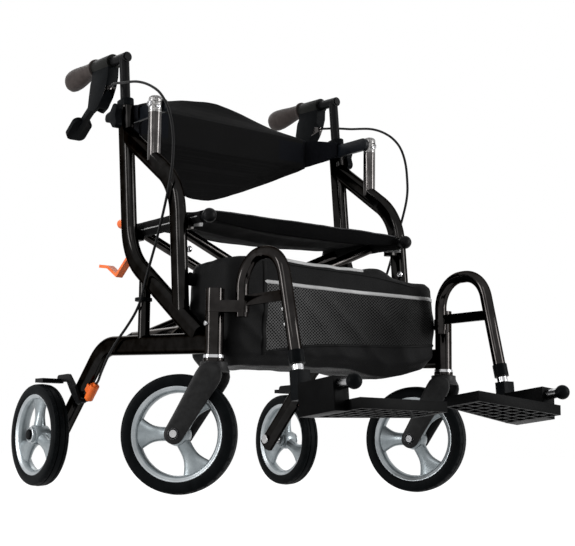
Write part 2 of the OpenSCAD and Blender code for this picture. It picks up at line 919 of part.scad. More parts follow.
fork_in = max(hub_w, tyre_w) / 2 + 2;
crown_top_z = head_bottom_z - bearing_h - gap;
crown_z = wheel_d - 3;
crown_r = crown_top_z - crown_z - 1;
crown_boss_d = 46;
blade_end_r = 17.7;
module caster_fork(side) {
  color(charcoal)
    at_caster(side) {
      difference() {
        for (s = [-1, 1])
          in_profile(s > 0 ? fork_in : -fork_in - blade_t)
            linear_extrude(height = blade_t)
              strap([0, crown_z], crown_r, [trail, wheel_r], blade_end_r);
        x_bar(-2 * fork_in, 2 * fork_in, trail, wheel_r, axle_d / 2);
      }
      difference() {
        union() {
          translate([-fork_in, 0, crown_z])
            rotate([0, 90, 0])
              cylinder(h = 2 * fork_in, r = crown_r);
          translate([0, 0, crown_z])
            cylinder(h = crown_top_z - crown_z, d = crown_boss_d);
        }
        translate([-fork_in - 1, trail, wheel_r])
          rotate([0, 90, 0])
            cylinder(h = 2 * fork_in + 2, r = wheel_r + 4);
      }
      translate([0, 0, crown_top_z - 6])
        cylinder(h = stem_top_z - gap - crown_top_z + 6, d = stem_d);
    }
}

module front_axle(side) {
  tip = fork_in + blade_t;
  color(bright_chrome)
    at_caster(side) {
      x_bar(-tip, tip, trail, wheel_r, axle_d / 2);
      for (s = [-1, 1])
        x_bar(s > 0 ? tip : -tip - axle_head_t, s > 0 ? tip + axle_head_t : -tip,
          trail, wheel_r, axle_d / 2 + 3);
    }
}

module front_rim(side) {
  at_caster(side)
    translate([0, trail, wheel_r])
      rim_body();
}

module front_tyre(side) {
  at_caster(side)
    translate([0, trail, wheel_r])
      tyre_body();
}

// Backrest arm: a flat bar hinged on the inside of the post, curving in to the belt
back_pin_d = 8;
arm_out_x = inner_x - collar_wall - gap;
arm_mid_x = arm_out_x - back_arm_t / 2;
arm_run = 99;
arm_curve_r = 70;
arm_curve = 60;
module backrest_arm(side) {
  color(charcoal)
    place(side) {
      in_profile(-arm_out_x)
        linear_extrude(height = back_arm_t) {
          translate([back_y, back_z])
            circle(d = back_arm_h);
          translate([back_y, back_z - back_arm_h / 2])
            square([arm_run + arm_curve_r * lap_share, back_arm_h]);
        }
      translate([arm_curve_r - arm_mid_x, back_y + arm_run, back_z - back_arm_h / 2])
        rotate([0, 0, 180 - arm_curve])
          rotate_extrude(angle = arm_curve, $fn = 96)
            translate([arm_curve_r - back_arm_t / 2 + proud, proud])
              square([back_arm_t - 2 * proud, back_arm_h - 2 * proud]);
      x_bar(-frame_x - back_post_d / 2, 1 - arm_out_x, back_y, back_z, back_pin_d / 2 - fit);
    }
}

// Belt: a bowed band between the arm ends, deepest at its middle
arm_end_x = arm_mid_x - arm_curve_r * (1 - cos(arm_curve));
arm_end_y = back_y + arm_run + arm_curve_r * sin(arm_curve);
belt_arc = asin(arm_end_x / belt_r) - 180 * gap / (PI * belt_r);
belt_cy = arm_end_y - sqrt(belt_r * belt_r - arm_end_x * arm_end_x);
belt_low_z = back_z - belt_down;
belt_top_z = back_z + belt_up;
belt_edge = [[0, 0, 0], [40, 0, 1], [81, 25, 8], [139, 56, 23], [182, 80, 41], [230, 106, 62]];
module back_belt() {
  low = [for (e = belt_edge) [e[0], belt_low_z + e[1]]];
  top = [for (e = belt_edge) [e[0], belt_top_z - e[2]]];
  n = len(belt_edge) - 1;
  color(cloth_black)
    place()
      intersection() {
        translate([0, belt_cy, 0])
          rotate([0, 0, 90 - belt_arc])
            rotate_extrude(angle = 2 * belt_arc, $fn = 128)
              translate([belt_r - belt_t / 2, belt_low_z - 1])
                square([belt_t, belt_top_z - belt_low_z + 2]);
        translate([0, 2 * belt_r, 0])
          rotate([90, 0, 0])
            linear_extrude(height = 2 * belt_r)
              polygon(concat(
                low, [for (i = [n:-1:0]) top[i]],
                [for (i = [1:n]) [-top[i][0], top[i][1]]], [for (i = [n:-1:1]) [-low[i][0], low[i][1]]]
              ));
      }
}

// Seat rail with a ball at the front
module seat_rail(side) {
  color(charcoal)
    place(side) {
      y_bar(-rail_x, seat_z, seat_front_y, seat_rear_y, seat_rail_d / 2);
      translate([-rail_x, seat_front_y, seat_z])
        sphere(d = ball_d);
    }
}

// Cross brace: each half has two tubes, a sleeve on its lower pivot and a rail on its top end
brace_y = [176, 290];
brace_step = brace_d + 4;
module brace(pivot_side, shift) {
  foot = [pivot_side * rail_x, pivot_z];
  head = [-pivot_side * rail_x, seat_z];
  difference() {
    union() {
      for (y = brace_y)
        bar([foot[0], y + shift, foot[1]], [head[0], y + shift, head[1]], brace_d / 2);
      y_bar(foot[0], foot[1], lug_y[0] + lug_t + gap, lug_y[1] - gap, brace_d / 2);
    }
    y_bar(foot[0], foot[1], lug_y[0], lug_y[1] + lug_t, pivot_d / 2 + fit);
    y_bar(head[0], head[1], seat_front_y, seat_rear_y, seat_rail_d / 2);
  }
}

brace_mid_z = (pivot_z + seat_z) / 2;
module brace_a() {
  color(dark_chrome)
    place() {
      brace(RIGHT, 0);
      y_bar(0, brace_mid_z, brace_y[0], brace_y[1] + brace_step + brace_d / 2 + 4, pivot_d / 2);
    }
}

module brace_b() {
  color(dark_chrome)
    place()
      difference() {
        brace(LEFT, brace_step);
        y_bar(0, brace_mid_z, 0, seat_rear_y, pivot_d / 2 + fit);
      }
}

// Sling seat: a sagging band with a sleeve over each rail and an apron on its front edge
sling_front_y = seat_front_y + ball_d / 2 + 3;
sling_rear_y = 326;
sling_steps = 24;
sleeve_t = 3;
apron_t = 4;
function sling_z(t) = seat_z + seat_rail_d / 2 + gap - sling_sag * (1 - pow(t, 2));
// Room for the upper end of a brace tube in the sleeve
module brace_head(pivot_side, y) {
  bar([0, y, brace_mid_z], [-pivot_side * rail_x, y, seat_z], brace_d / 2 + gap);
}

module seat_sling() {
  ts = [for (i = [0:sling_steps]) -1 + 2 * i / sling_steps];
  inner = rail_x - seat_rail_d / 2 + 0.5;
  under = [for (t = ts) [t * inner, sling_z(t) - sleeve_t]];
  over = [for (i = [sling_steps:-1:0]) [ts[i] * inner, sling_z(ts[i]) - sleeve_t + sling_t]];
  hang = [for (t = ts) [t * inner, sling_z(t) - apron_h * (1 - pow(t, 4))]];
  color(cloth_black)
    place() {
      difference() {
        translate([0, sling_rear_y, 0])
          rotate([90, 0, 0])
            linear_extrude(height = sling_rear_y - sling_front_y) {
              polygon(concat(under, over));
              for (s = [-1, 1])
                translate([s * rail_x, seat_z])
                  difference() {
                    circle(r = seat_rail_d / 2 + gap + sleeve_t);
                    circle(r = seat_rail_d / 2 + gap);
                    translate([-2 * seat_rail_d, gap - 2 * seat_rail_d])
                      square([4 * seat_rail_d, 2 * seat_rail_d]);
                  }
            }
        for (y = brace_y) {
          brace_head(RIGHT, y);
          brace_head(LEFT, y + brace_step);
        }
      }
      translate([0, sling_front_y + apron_t, 0])
        rotate([90, 0, 0])
          linear_extrude(height = apron_t)
            polygon(concat(hang, over));
    }
}

// Storage bag under the seat: a soft box with rounded corners and two hanging tabs
bag_w = 2 * (inner_x - bag_clear);
bag_z = 213;
bag_y = -4;
tab_w = 20;
tab_h = 24;
tab_z = 378;
module rounded(w, h, r) {
  square([w - 2 * r, h], center = true);
  square([w, h - 2 * r], center = true);
  for (x = [-1, 1], y = [-1, 1])
    translate([x * (w / 2 - r), y * (h / 2 - r)])
      circle(r = r);
}

module storage_bag() {
  color(cloth_black)
    place() {
      translate([0, bag_y + bag_d / 2, bag_z + bag_h / 2])
        intersection() {
          linear_extrude(height = 2 * bag_h, center = true)
            rounded(bag_w, bag_d, bag_r);
          rotate([90, 0, 0])
            linear_extrude(height = 2 * bag_d, center = true)
              rounded(bag_w, bag_h, bag_r);
        }
      for (s = [-1, 1])
        translate([s > 0 ? bag_w / 2 - bag_r : gap - inner_x, arm_y(tab_z) - tab_w, tab_z - tab_h / 2])
          cube([inner_x - gap - bag_w / 2 + bag_r, tab_w, tab_h]);
    }
}

// Footrest hanger: a collar on the pin, a boss, a bent tube and a flat cross strap
collar_top_z = 348;
boss_h = 20;
hanger_foot = [-30, 300];
hanger_z = 404;
hanger_front_y = -139.5;
leg_end = [-188.4, 213];
hanger_bend_r = 56;
hanger_path = [hanger_foot, [hanger_foot[0], hanger_z], [hanger_front_y, hanger_z], leg_end];
leg_dir = unit2(leg_end - hanger_path[2]);
leg_lean = atan2(-leg_dir[0], -leg_dir[1]);
end_collar_l = 22;
leg_in = 120;
strap_z = 318;
strap_h = 18;
strap_t = 6;
function leg_y(z) = leg_end[0] + (z - leg_end[1]) * tan(leg_lean);
module leg_axis() {
  translate([-foot_x, leg_end[0], leg_end[1]])
    rotate([-leg_lean, 0, 0])
      children();
}

module footrest_hanger(side) {
  strap_front = leg_y(strap_z + strap_h / 2);
  color(dark_chrome)
    place(side)
      difference() {
        union() {
          translate([-caster_x, 0, head_top_z + gap])
            cylinder(h = collar_top_z - head_top_z - gap, d = head_d);
          translate([0, 0, head_top_z + gap])
            linear_extrude(height = boss_h)
              strap([-caster_x, 0], head_d / 2 - 2, [-foot_x, hanger_foot[0]], hanger_d / 2 + 2);
          in_profile(-foot_x)
            tube_path(hanger_path, hanger_bend_r, hanger_d / 2, hanger_d / 2);
          translate([-foot_x - strap_t / 2, strap_front, strap_z])
            cube([strap_t, hanger_foot[0] - hanger_d / 4 - strap_front, strap_h]);
          leg_axis()
            cylinder(h = end_collar_l, r = hanger_d / 2 + 2);
        }
        leg_axis()
          translate([0, 0, -1])
            cylinder(h = leg_in + 7, r = leg_d / 2 + fit);
        translate([-caster_x, 0, 0])
          cylinder(h = pin_top_z + gap, r = pin_d / 2 + fit);
      }
}

// Leg extension: chrome tube, clamp block, hinge rod and ball knob. The rod's frame starts in the
// ball, with Y along the rod to the rear and Z square to the tread.
rod_knob_d = 25;
rod_front_y = knob_front_y + rod_knob_d / 2;
block_run = [32, 121];
block_w = 30;
block_wall = 4;
leg_clamp_l = 22;
leg_clamp_w = 25;
leg_clamp_z = [-12.5, 36];
leg_clamp_y = block_run[1] + 2 * gap;
leg_reach = 38;
module rod_axis() {
  translate([-foot_x, rod_front_y, plate_hinge_z])
    rotate([-toe_tilt, 0, 0])
      children();
}

module leg_extension(side) {
  color(bright_chrome)
    place(side) {
      leg_axis()
        translate([0, 0, -leg_reach])
          cylinder(h = leg_reach + leg_in, d = leg_d);
      rod_axis() {
        translate([-leg_clamp_w / 2, leg_clamp_y, leg_clamp_z[0]])
          cube([leg_clamp_w, leg_clamp_l, leg_clamp_z[1] - leg_clamp_z[0]]);
        y_bar(0, 0, 0, leg_clamp_y + leg_clamp_l / 2, plate_rod_d / 2);
        sphere(d = rod_knob_d);
      }
    }
}

// Footplate: a hinge block on the rod and a ribbed tread tilted up at the toe
plate_drop = 41;
tread_out = 8;
heel_run = [block_run[1], 85.5];
toe_run = [-2.5, 5.5];
wall = 3.5;
cell = 22;
module tread_outline(inset) {
  x0 = tread_out + inset;
  x1 = tread_out + plate_w - inset;
  slope = (heel_run[1] - heel_run[0]) / plate_w;
  polygon([
    [x0, heel_run[0] + inset * (slope - 1)], [x1, heel_run[1] - inset * (1 + slope)],
    [x1, toe_run[1] + inset], [x0, toe_run[0] + inset]
  ]);
}

// Open cells under the tread, kept inside its rim
module tread_cells() {
  intersection() {
    tread_outline(wall + 1);
    for (i = [0:8], j = [0:6])
      translate([tread_out + wall + 1 + i * cell, toe_run[0] + wall + 1 + j * cell])
        square(cell - wall);
  }
}

module footplate(side) {
  lift = side == LEFT ? left_plate_lift : 0;
  color(charcoal)
    place(side)
      rod_axis()
        rotate([0, -lift, 0])
          difference() {
            union() {
              translate([-block_w / 2, block_run[0], -plate_drop])
                cube([block_w, block_run[1] - block_run[0], plate_drop + plate_rod_d / 2 + block_wall]);
              translate([0, 0, -plate_drop])
                difference() {
                  linear_extrude(height = plate_t)
                    tread_outline(0);
                  translate([0, 0, -1])
                    linear_extrude(height = plate_t - 3)
                      tread_cells();
                }
            }
            y_bar(0, 0, 0, 2 * block_run[1], plate_rod_d / 2 + fit);
          }
}

// Orange hook behind the right upright that holds the folded frames together, and its button
hook_points = [[298, 436], [340, 405], [375, 425], [408, 430]];
hook_t = 6;
hook_w = 14;
hook_button = [334, 505];
function hook_normal(i) =
  let (
    a = unit2(hook_points[max(i, 1)] - hook_points[max(i, 1) - 1]),
    b = unit2(hook_points[min(i, len(hook_points) - 2) + 1] - hook_points[min(i, len(hook_points) - 2)]),
    m = unit2(a + b)
  )
    [-m[1], m[0]] / (m * a);
module fold_hook() {
  n = len(hook_points) - 1;
  color(orange)
    place(RIGHT) {
      difference() {
        in_profile(-frame_x - hook_w / 2)
          linear_extrude(height = hook_w)
            polygon(concat(
              [for (i = [0:n]) hook_points[i] + hook_t / 2 * hook_normal(i)],
              [for (i = [n:-1:0]) hook_points[i] - hook_t / 2 * hook_normal(i)]
            ));
        upright_tube(weld);
      }
      difference() {
        y_bar(-frame_x, hook_button[1], upright_y(hook_button[1]), hook_button[0] + 4, 9);
        upright_tube(weld);
      }
    }
}

lower_rail(RIGHT);  // lower_rail_r
lower_rail(LEFT);  // lower_rail_l
upright(RIGHT);  // upright_r
upright(LEFT);  // upright_l
arm_tube(RIGHT);  // arm_tube_r
arm_tube(LEFT);  // arm_tube_l
caster_head(RIGHT);  // caster_head_r
caster_head(LEFT);  // caster_head_l
release_button(RIGHT);  // release_button_r
release_button(LEFT);  // release_button_l
rear_axle(RIGHT);  // rear_axle_r
rear_axle(LEFT);  // rear_axle_l
footrest_pin(RIGHT);  // footrest_pin_r
footrest_pin(LEFT);  // footrest_pin_l
height_collar(RIGHT);  // height_collar_r
height_collar(LEFT);  // height_collar_l
height_knob(RIGHT);  // height_knob_r
height_knob(LEFT);  // height_knob_l
handle_post(RIGHT);  // handle_post_r
handle_post(LEFT);  // handle_post_l
hand_grip(RIGHT);  // hand_grip_r
hand_grip(LEFT);  // hand_grip_l
brake_housing(RIGHT);  // brake_housing_r
brake_housing(LEFT);  // brake_housing_l
brake_lever(RIGHT);  // brake_lever_r
brake_lever(LEFT);  // brake_lever_l
brake_cable(RIGHT);  // brake_cable_r
brake_cable(LEFT);  // brake_cable_l
cable_adjuster(RIGHT);  // cable_adjuster_r
cable_adjuster(LEFT);  // cable_adjuster_l
brake_arm(RIGHT);  // brake_arm_r
brake_arm(LEFT);  // brake_arm_l
rear_rim(RIGHT);  // rear_rim_r
rear_rim(LEFT);  // rear_rim_l
rear_tyre(RIGHT);  // rear_tyre_r
rear_tyre(LEFT);  // rear_tyre_l
caster_fork(RIGHT);  // caster_fork_r
caster_fork(LEFT);  // caster_fork_l
front_axle(RIGHT);  // front_axle_r
front_axle(LEFT);  // front_axle_l
front_rim(RIGHT);  // front_rim_r
front_rim(LEFT);  // front_rim_l
front_tyre(RIGHT);  // front_tyre_r
front_tyre(LEFT);  // front_tyre_l
backrest_arm(RIGHT);  // backrest_arm_r
backrest_arm(LEFT);  // backrest_arm_l
seat_rail(RIGHT);  // seat_rail_r
seat_rail(LEFT);  // seat_rail_l
footrest_hanger(RIGHT);  // footrest_hanger_r
footrest_hanger(LEFT);  // footrest_hanger_l
leg_extension(RIGHT);  // leg_extension_r
leg_extension(LEFT);  // leg_extension_l
footplate(RIGHT);  // footplate_r
footplate(LEFT);  // footplate_l
brace_a();
brace_b();
seat_sling();
back_belt();
storage_bag();
fold_hook();
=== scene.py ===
import json
import math

import bmesh
import bpy
from mathutils import Matrix, Vector, noise


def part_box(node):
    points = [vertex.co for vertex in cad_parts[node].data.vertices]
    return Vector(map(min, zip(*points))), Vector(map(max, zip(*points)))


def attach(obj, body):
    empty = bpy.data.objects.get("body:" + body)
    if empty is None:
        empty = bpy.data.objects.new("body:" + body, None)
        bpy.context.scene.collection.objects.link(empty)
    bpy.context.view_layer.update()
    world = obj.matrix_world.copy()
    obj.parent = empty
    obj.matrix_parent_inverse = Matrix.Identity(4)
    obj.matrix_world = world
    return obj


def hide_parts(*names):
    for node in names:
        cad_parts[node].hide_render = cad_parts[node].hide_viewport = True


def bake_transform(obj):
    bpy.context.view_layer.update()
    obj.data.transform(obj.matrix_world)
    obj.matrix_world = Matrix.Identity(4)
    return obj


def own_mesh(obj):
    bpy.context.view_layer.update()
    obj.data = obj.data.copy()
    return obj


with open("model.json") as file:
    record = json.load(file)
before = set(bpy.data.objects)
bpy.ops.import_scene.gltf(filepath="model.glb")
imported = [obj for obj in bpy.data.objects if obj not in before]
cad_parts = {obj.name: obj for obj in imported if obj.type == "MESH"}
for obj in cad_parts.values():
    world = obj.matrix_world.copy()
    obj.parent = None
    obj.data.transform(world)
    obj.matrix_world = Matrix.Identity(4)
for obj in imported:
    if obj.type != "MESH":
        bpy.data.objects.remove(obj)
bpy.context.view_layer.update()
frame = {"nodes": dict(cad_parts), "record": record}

MM = 0.001
SIDES = {"r": -1, "l": 1}
FRAME_OF = {"r": "right_frame", "l": "left_frame"}
UP, FRONT, X_AXIS = Vector((0, 0, 1)), Vector((0, -1, 0)), Vector((1, 0, 0))
scene = bpy.context.scene
nodes = frame["nodes"]

# The chair's own measures: x from its middle plane, y back from the caster axis, z up, in millimetres
REAR_AXLE_Y = 564
mid_x = (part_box("upright_r")[0].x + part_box("upright_l")[1].x) / 2
caster_y = sum(c.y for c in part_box("rear_axle_r")) / 2 - REAR_AXLE_Y * MM


def at(x, y, z):
    return Vector((mid_x + x * MM, caster_y + y * MM, z * MM))


def measures(spot, sign=1):
    """A point in the chair's own measures, with x outward on one side of it."""
    return sign * (spot.x - mid_x) / MM, (spot.y - caster_y) / MM, spot.z / MM


def within(value, span):
    return span[0] < value < span[1]


def spaced(low, high, count):
    """Evenly spaced values from low to high, with count steps between them."""
    return [low + (high - low) * i / count for i in range(count + 1)]


def smooth_step(t):
    t = min(1.0, max(0.0, t))
    return t * t * (3 - 2 * t)


def along_table(table, x):
    """Value of a table of (place, value) pairs, as a smooth line through its rows."""
    if x <= table[0][0]:
        return table[0][1]
    for i, ((a, u), (b, v)) in enumerate(zip(table, table[1:])):
        if x <= b:
            before, after = table[max(0, i - 1)], table[min(len(table) - 1, i + 2)]
            t = (x - a) / (b - a)
            start = (v - before[1]) / (b - before[0]) * (b - a)
            end = (after[1] - u) / (after[0] - a) * (b - a)
            bend, twist = 3 * (v - u) - 2 * start - end, 2 * (u - v) + start + end
            return u + t * start + t * t * bend + t ** 3 * twist
    return table[-1][1]


def square_to(across, up, along):
    """Turn that carries x, y and z onto three directions."""
    return Matrix((across, up, along)).transposed().to_4x4()


def ring(place, turn, half_x, half_y):
    """One ring of a drawn form: its place, its turn and its half measures."""
    return Matrix.Translation(place) @ turn @ Matrix.Diagonal((half_x * MM, half_y * MM, 1, 1))


def tilted(y, z, angle):
    c, s = math.cos(angle), math.sin(angle)
    return y * c - z * s, y * s + z * c


def both_sides(make):
    for side, sign in SIDES.items():
        make(side, sign)


# Camera at the photograph's standpoint, low beside the right front wheel
CAMERA_AT = at(-1488, -1851, 75)
CAMERA_YAW, CAMERA_RISE, CAMERA_ROLL = -36.61, -7.76, 0.72
FOCAL_PX, IMAGE_W = 1308.1, 575
SENSOR = 36


def set_camera():
    yaw, rise, roll = (math.radians(a) for a in (CAMERA_YAW, CAMERA_RISE, CAMERA_ROLL))
    back = Vector((math.sin(yaw) * math.cos(rise), -math.cos(yaw) * math.cos(rise), math.sin(rise)))
    right = (-back).cross(UP).normalized()
    up = right.cross(-back)
    across = math.cos(roll) * right + math.sin(roll) * up
    upward = math.cos(roll) * up - math.sin(roll) * right
    camera = bpy.data.objects.new("camera", bpy.data.cameras.new("camera"))
    camera.data.sensor_width = SENSOR
    camera.data.lens = SENSOR * FOCAL_PX / IMAGE_W
    camera.matrix_world = Matrix.Translation(CAMERA_AT) @ square_to(across, upward, back)
    scene.collection.objects.link(camera)
    scene.camera = camera


set_camera()


class Nodes:
    """A tree of shader nodes, built up node by node."""

    def __init__(self, owner):
        owner.use_nodes = True
        self.tree = owner.node_tree
        self.tree.nodes.clear()

    def add(self, kind, **settings):
        node = self.tree.nodes.new("ShaderNode" + kind)
        for key, value in settings.items():
            socket = key.replace("_", " ").title().replace("Ior", "IOR")
            if socket in node.inputs:
                node.inputs[socket].default_value = value
            else:
                setattr(node, key, value)
        return node

    def join(self, source, output, target, socket):
        self.tree.links.new(source.outputs[output], target.inputs[socket])

    def math(self, operation, *items):
        node = self.add("Math", operation=operation)
        for index, item in enumerate(items):
            if isinstance(item, tuple):
                self.join(*item, node, index)
            else:
                node.inputs[index].default_value = item
        return node, "Value"

    def spread(self, source, low, high, from_low=0.3, from_high=0.7):
        node = self.add("MapRange", from_min=from_low, from_max=from_high, to_min=low, to_max=high)
        self.join(*source, node, "Value")
        return node, "Result"


class Finish(Nodes):
    """A procedural surface finish."""

    def __init__(self, name, **sockets):
        self.made = bpy.data.materials.new(name)
        super().__init__(self.made)
        self.shader = self.add("BsdfPrincipled", **sockets)
        self.join(self.shader, "BSDF", self.add("OutputMaterial"), "Surface")
        self.place = self.add("TexCoord")

    def noise(self, scale, detail=3, roughness=0.5):
        node = self.add("TexNoise", scale=scale, detail=detail, roughness=roughness)
        self.join(self.place, "Object", node, "Vector")
        return node, "Fac"

    def threads(self, source, pitch):
        """Two sets of waves that cross, one wave to a pitch."""
        sets = []
        for axis in ("X", "Y"):
            scale = math.pi / (10 * pitch)
            wave = self.add("TexWave", wave_type="BANDS", bands_direction=axis, scale=scale)
            self.join(*source, wave, "Vector")
            sets.append((wave, "Fac"))
        return sets

    def colour(self, source, *stops):
        """Base colour from two stops of (place, colour) along a source."""
        node = self.add("ValToRGB")
        for element, (place, colour) in zip(node.color_ramp.elements, stops):
            element.position = place
            element.color = (*colour, 1)
        self.join(*source, node, "Fac")
        self.join(node, "Color", self.shader, "Base Color")

    def rough(self, source, low, high):
        self.join(*self.spread(source, low, high), self.shader, "Roughness")

    def bump(self, height, strength, distance, over=None):
        node = self.add("Bump", strength=strength, distance=distance)
        self.join(*height, node, "Height")
        if over:
            self.join(*over, node, "Normal")
        self.join(node, "Normal", self.shader, "Normal")
        return node, "Normal"


def surface(name, dark, light, rough, blotch, grain, bump, depth, gloss, metal):
    """A moulded or painted finish: blotches of tone, uneven gloss and a fine grain."""
    tint = EDGE_TINTS.get(name, (1, 1, 1, 1))
    made = Finish(name, specular_ior_level=gloss, metallic=metal, specular_tint=tint)
    made.colour(made.noise(blotch, 5, 0.6), (0.35, dark), (0.65, light))
    fine = made.noise(grain, 4, 0.6)
    made.rough(fine, *rough)
    made.bump(fine, bump, depth * MM)
    return made.made


def cloth(name, dark, light, pitch, rough, sheen, gloss):
    """Woven nylon: over and under threads on the piece's own flat measures, with a slow crumple of tone."""
    made = Finish(name, sheen_weight=sheen, sheen_roughness=0.5, specular_ior_level=gloss)
    flat = (made.place, "UV")
    warp, weft = made.threads(flat, pitch)
    check = made.add("TexChecker", scale=1 / pitch)
    made.join(*flat, check, "Vector")
    over = made.math("MULTIPLY", (check, "Fac"), warp)
    under = made.math("MULTIPLY", made.math("SUBTRACT", 1.0, (check, "Fac")), weft)
    thread = made.math("ADD", over, under)
    slow = made.noise(14, 5, 0.6)
    tone = made.math("ADD", made.math("MULTIPLY", thread, 0.45), made.math("MULTIPLY", slow, 0.55))
    made.colour(tone, (0.25, dark), (0.8, light))
    made.rough(slow, *rough)
    made.bump(thread, 0.5, 0.00025, made.bump(made.noise(55), 0.25, 0.0015))
    return made.made


def net(name, gap, thread, pitch):
    """Open bag net: a diamond lattice of pale thread over gaps painted as the bag's dark inside cloth in shade,
    with painted shade that dims it towards the far side.
    """
    made = Finish(name, specular_ior_level=0.05)
    turn = made.add("Mapping", rotation=(0, 0, math.radians(45)))
    made.join(made.place, "UV", turn, "Vector")
    strand = made.math("MAXIMUM", *made.threads((turn, "Vector"), pitch))
    light = made.math("MULTIPLY", strand, made.spread(made.noise(6), 0.94, 1.02))
    # Painted shade: the net's tone falls off across x towards the far side of the bag, as if its inside were
    # shadowed there
    split = made.add("SeparateXYZ")
    made.join(made.place, "Object", split, "Vector")
    shade = made.math("MULTIPLY", light, made.spread((split, "X"), 1.0, 0.8, -0.12, 0.1))
    made.colour(shade, (0.66, gap), (0.99, thread))
    made.rough(made.noise(300, 2), 0.5, 0.75)
    made.bump(strand, 0.8, 0.0008)
    return made.made


# Dark and light tone, roughness, scale of blotches and grain, bump and its depth in millimetres, gloss, metal
SURFACES = {
    "frame_black": ((0.0108, 0.0104, 0.0101), (0.0168, 0.0161, 0.0157), (0.07, 0.15), 40, 1400, 0.03, 0.2, 0.5, 1),
    "matt_black_metal": (
        (0.0030, 0.0030, 0.0034), (0.0060, 0.0060, 0.0064), (0.3, 0.44), 25, 1600, 0.08, 0.4, 0.05, 0),
    "dark_chrome": ((0.0165, 0.0152, 0.0147), (0.028, 0.0260, 0.0252), (0.05, 0.11), 30, 900, 0.02, 0.2, 0.5, 1),
    "bright_chrome": ((0.42, 0.42, 0.43), (0.56, 0.56, 0.57), (0.07, 0.2), 25, 1200, 0.03, 0.2, 0.5, 1),
    "steel": ((0.3, 0.3, 0.31), (0.44, 0.44, 0.44), (0.2, 0.36), 25, 1500, 0.05, 0.4, 0.5, 1),
    "charcoal_plastic": (
        (0.0017, 0.0021, 0.0025), (0.0040, 0.0047, 0.0055), (0.3, 0.46), 35, 2200, 0.12, 0.3, 0.02, 0),
    "grip_taupe": ((0.024, 0.0180, 0.0162), (0.040, 0.0315, 0.029), (0.48, 0.66), 60, 2600, 0.2, 0.3, 0.12, 0),
    "cable_rubber": ((0.003, 0.003, 0.0034), (0.006, 0.006, 0.0065), (0.35, 0.5), 25, 1800, 0.06, 0.4, 0.09, 0),
    "orange_plastic": ((0.74, 0.12, 0.012), (0.85, 0.165, 0.02), (0.32, 0.46), 45, 1800, 0.06, 0.4, 0.3, 0),
    "rim_silver": ((0.195, 0.222, 0.236), (0.285, 0.318, 0.333), (0.26, 0.38), 50, 1600, 0.05, 0.2, 0.5, 0.55),
    "tyre_black": ((0.0009, 0.0014, 0.0018), (0.0028, 0.0036, 0.0042), (0.42, 0.6), 70, 1500, 0.2, 0.4, 0.035, 0),
    "strip_grey": ((0.24, 0.24, 0.24), (0.34, 0.34, 0.34), (0.4, 0.6), 25, 1500, 0.2, 0.4, 0.5, 0),
    "thread_grey": ((0.03, 0.03, 0.031), (0.06, 0.06, 0.062), (0.6, 0.8), 25, 2500, 0.1, 0.4, 0.1, 0),
    "cast_head": ((0.09, 0.086, 0.084), (0.34, 0.335, 0.33), (0.2, 0.45), 260, 500, 0.5, 0.8, 0.5, 0.95),
    "clamp_olive": ((0.0046, 0.0048, 0.0041), (0.0088, 0.0090, 0.0079), (0.42, 0.6), 40, 2000, 0.12, 0.3, 0.06, 0),
    "lip_bright": ((0.31, 0.335, 0.35), (0.41, 0.435, 0.45), (0.3, 0.42), 25, 1500, 0.03, 0.2, 0.5, 0.7),
    "post_chrome": ((0.040, 0.0372, 0.0364), (0.086, 0.081, 0.079), (0.07, 0.14), 30, 900, 0.02, 0.2, 0.5, 1),
    "fork_black": ((0.0056, 0.0056, 0.0058), (0.0146, 0.0146, 0.0149), (0.38, 0.55), 90, 1500, 0.12, 0.4, 0.12, 0),
    "plate_black": ((0.0005, 0.0005, 0.0006), (0.0016, 0.0017, 0.0018), (0.32, 0.48), 40, 1900, 0.1, 0.3, 0.018, 0),
    "rod_steel": ((0.2, 0.2, 0.205), (0.34, 0.34, 0.345), (0.16, 0.3), 25, 1300, 0.05, 0.4, 0.5, 1),
    "arm_blue": ((0.0028, 0.0037, 0.0054), (0.0052, 0.0067, 0.0094), (0.3, 0.45), 35, 2200, 0.1, 0.3, 0.12, 0),
    "brace_chrome": ((0.021, 0.0192, 0.0185), (0.042, 0.039, 0.0378), (0.12, 0.22), 40, 1000, 0.03, 0.2, 0.5, 1),
}
EDGE_TINTS = {
    "frame_black": (0.41, 0.405, 0.4, 1), "dark_chrome": (0.41, 0.405, 0.4, 1), "brace_chrome": (0.6, 0.59, 0.58, 1)
}
# Dark and light tone, thread pitch, roughness, sheen, gloss
CLOTHS = {
    # seat_cloth and belt_cloth are one cloth, lit and shaded: the belt's lighter tones are painted light and the
    # seat's darker tones are painted shade
    "seat_cloth": ((0.0006, 0.0006, 0.0007), (0.0032, 0.0032, 0.0034), 0.0012, (0.7, 0.9), 0.006, 0.025),
    "bag_cloth": ((0.0015, 0.0015, 0.0016), (0.0068, 0.0068, 0.0071), 0.0014, (0.4, 0.65), 0.012, 0.045),
    "belt_cloth": ((0.0022, 0.0022, 0.0023), (0.0088, 0.0088, 0.0090), 0.0012, (0.7, 0.9), 0.012, 0.04),
    "sleeve_cloth": ((0.0022, 0.0024, 0.0033), (0.0088, 0.0096, 0.0124), 0.0012, (0.7, 0.9), 0.008, 0.03),
}
finishes = {name: surface(name, *look) for name, look in SURFACES.items()}
finishes.update({name: cloth(name, *look) for name, look in CLOTHS.items()})
finishes["bag_net"] = net("bag_net", (0.0007, 0.0007, 0.0007), (0.105, 0.105, 0.105), 0.0046)

slot_of = {part["node"]: part["material_slot"] for part in frame["record"]["subparts"]}
for name, node in nodes.items():
    node.data.materials.clear()
    node.data.materials.append(finishes["brace_chrome" if name in ("brace_a", "brace_b") else slot_of[name]])


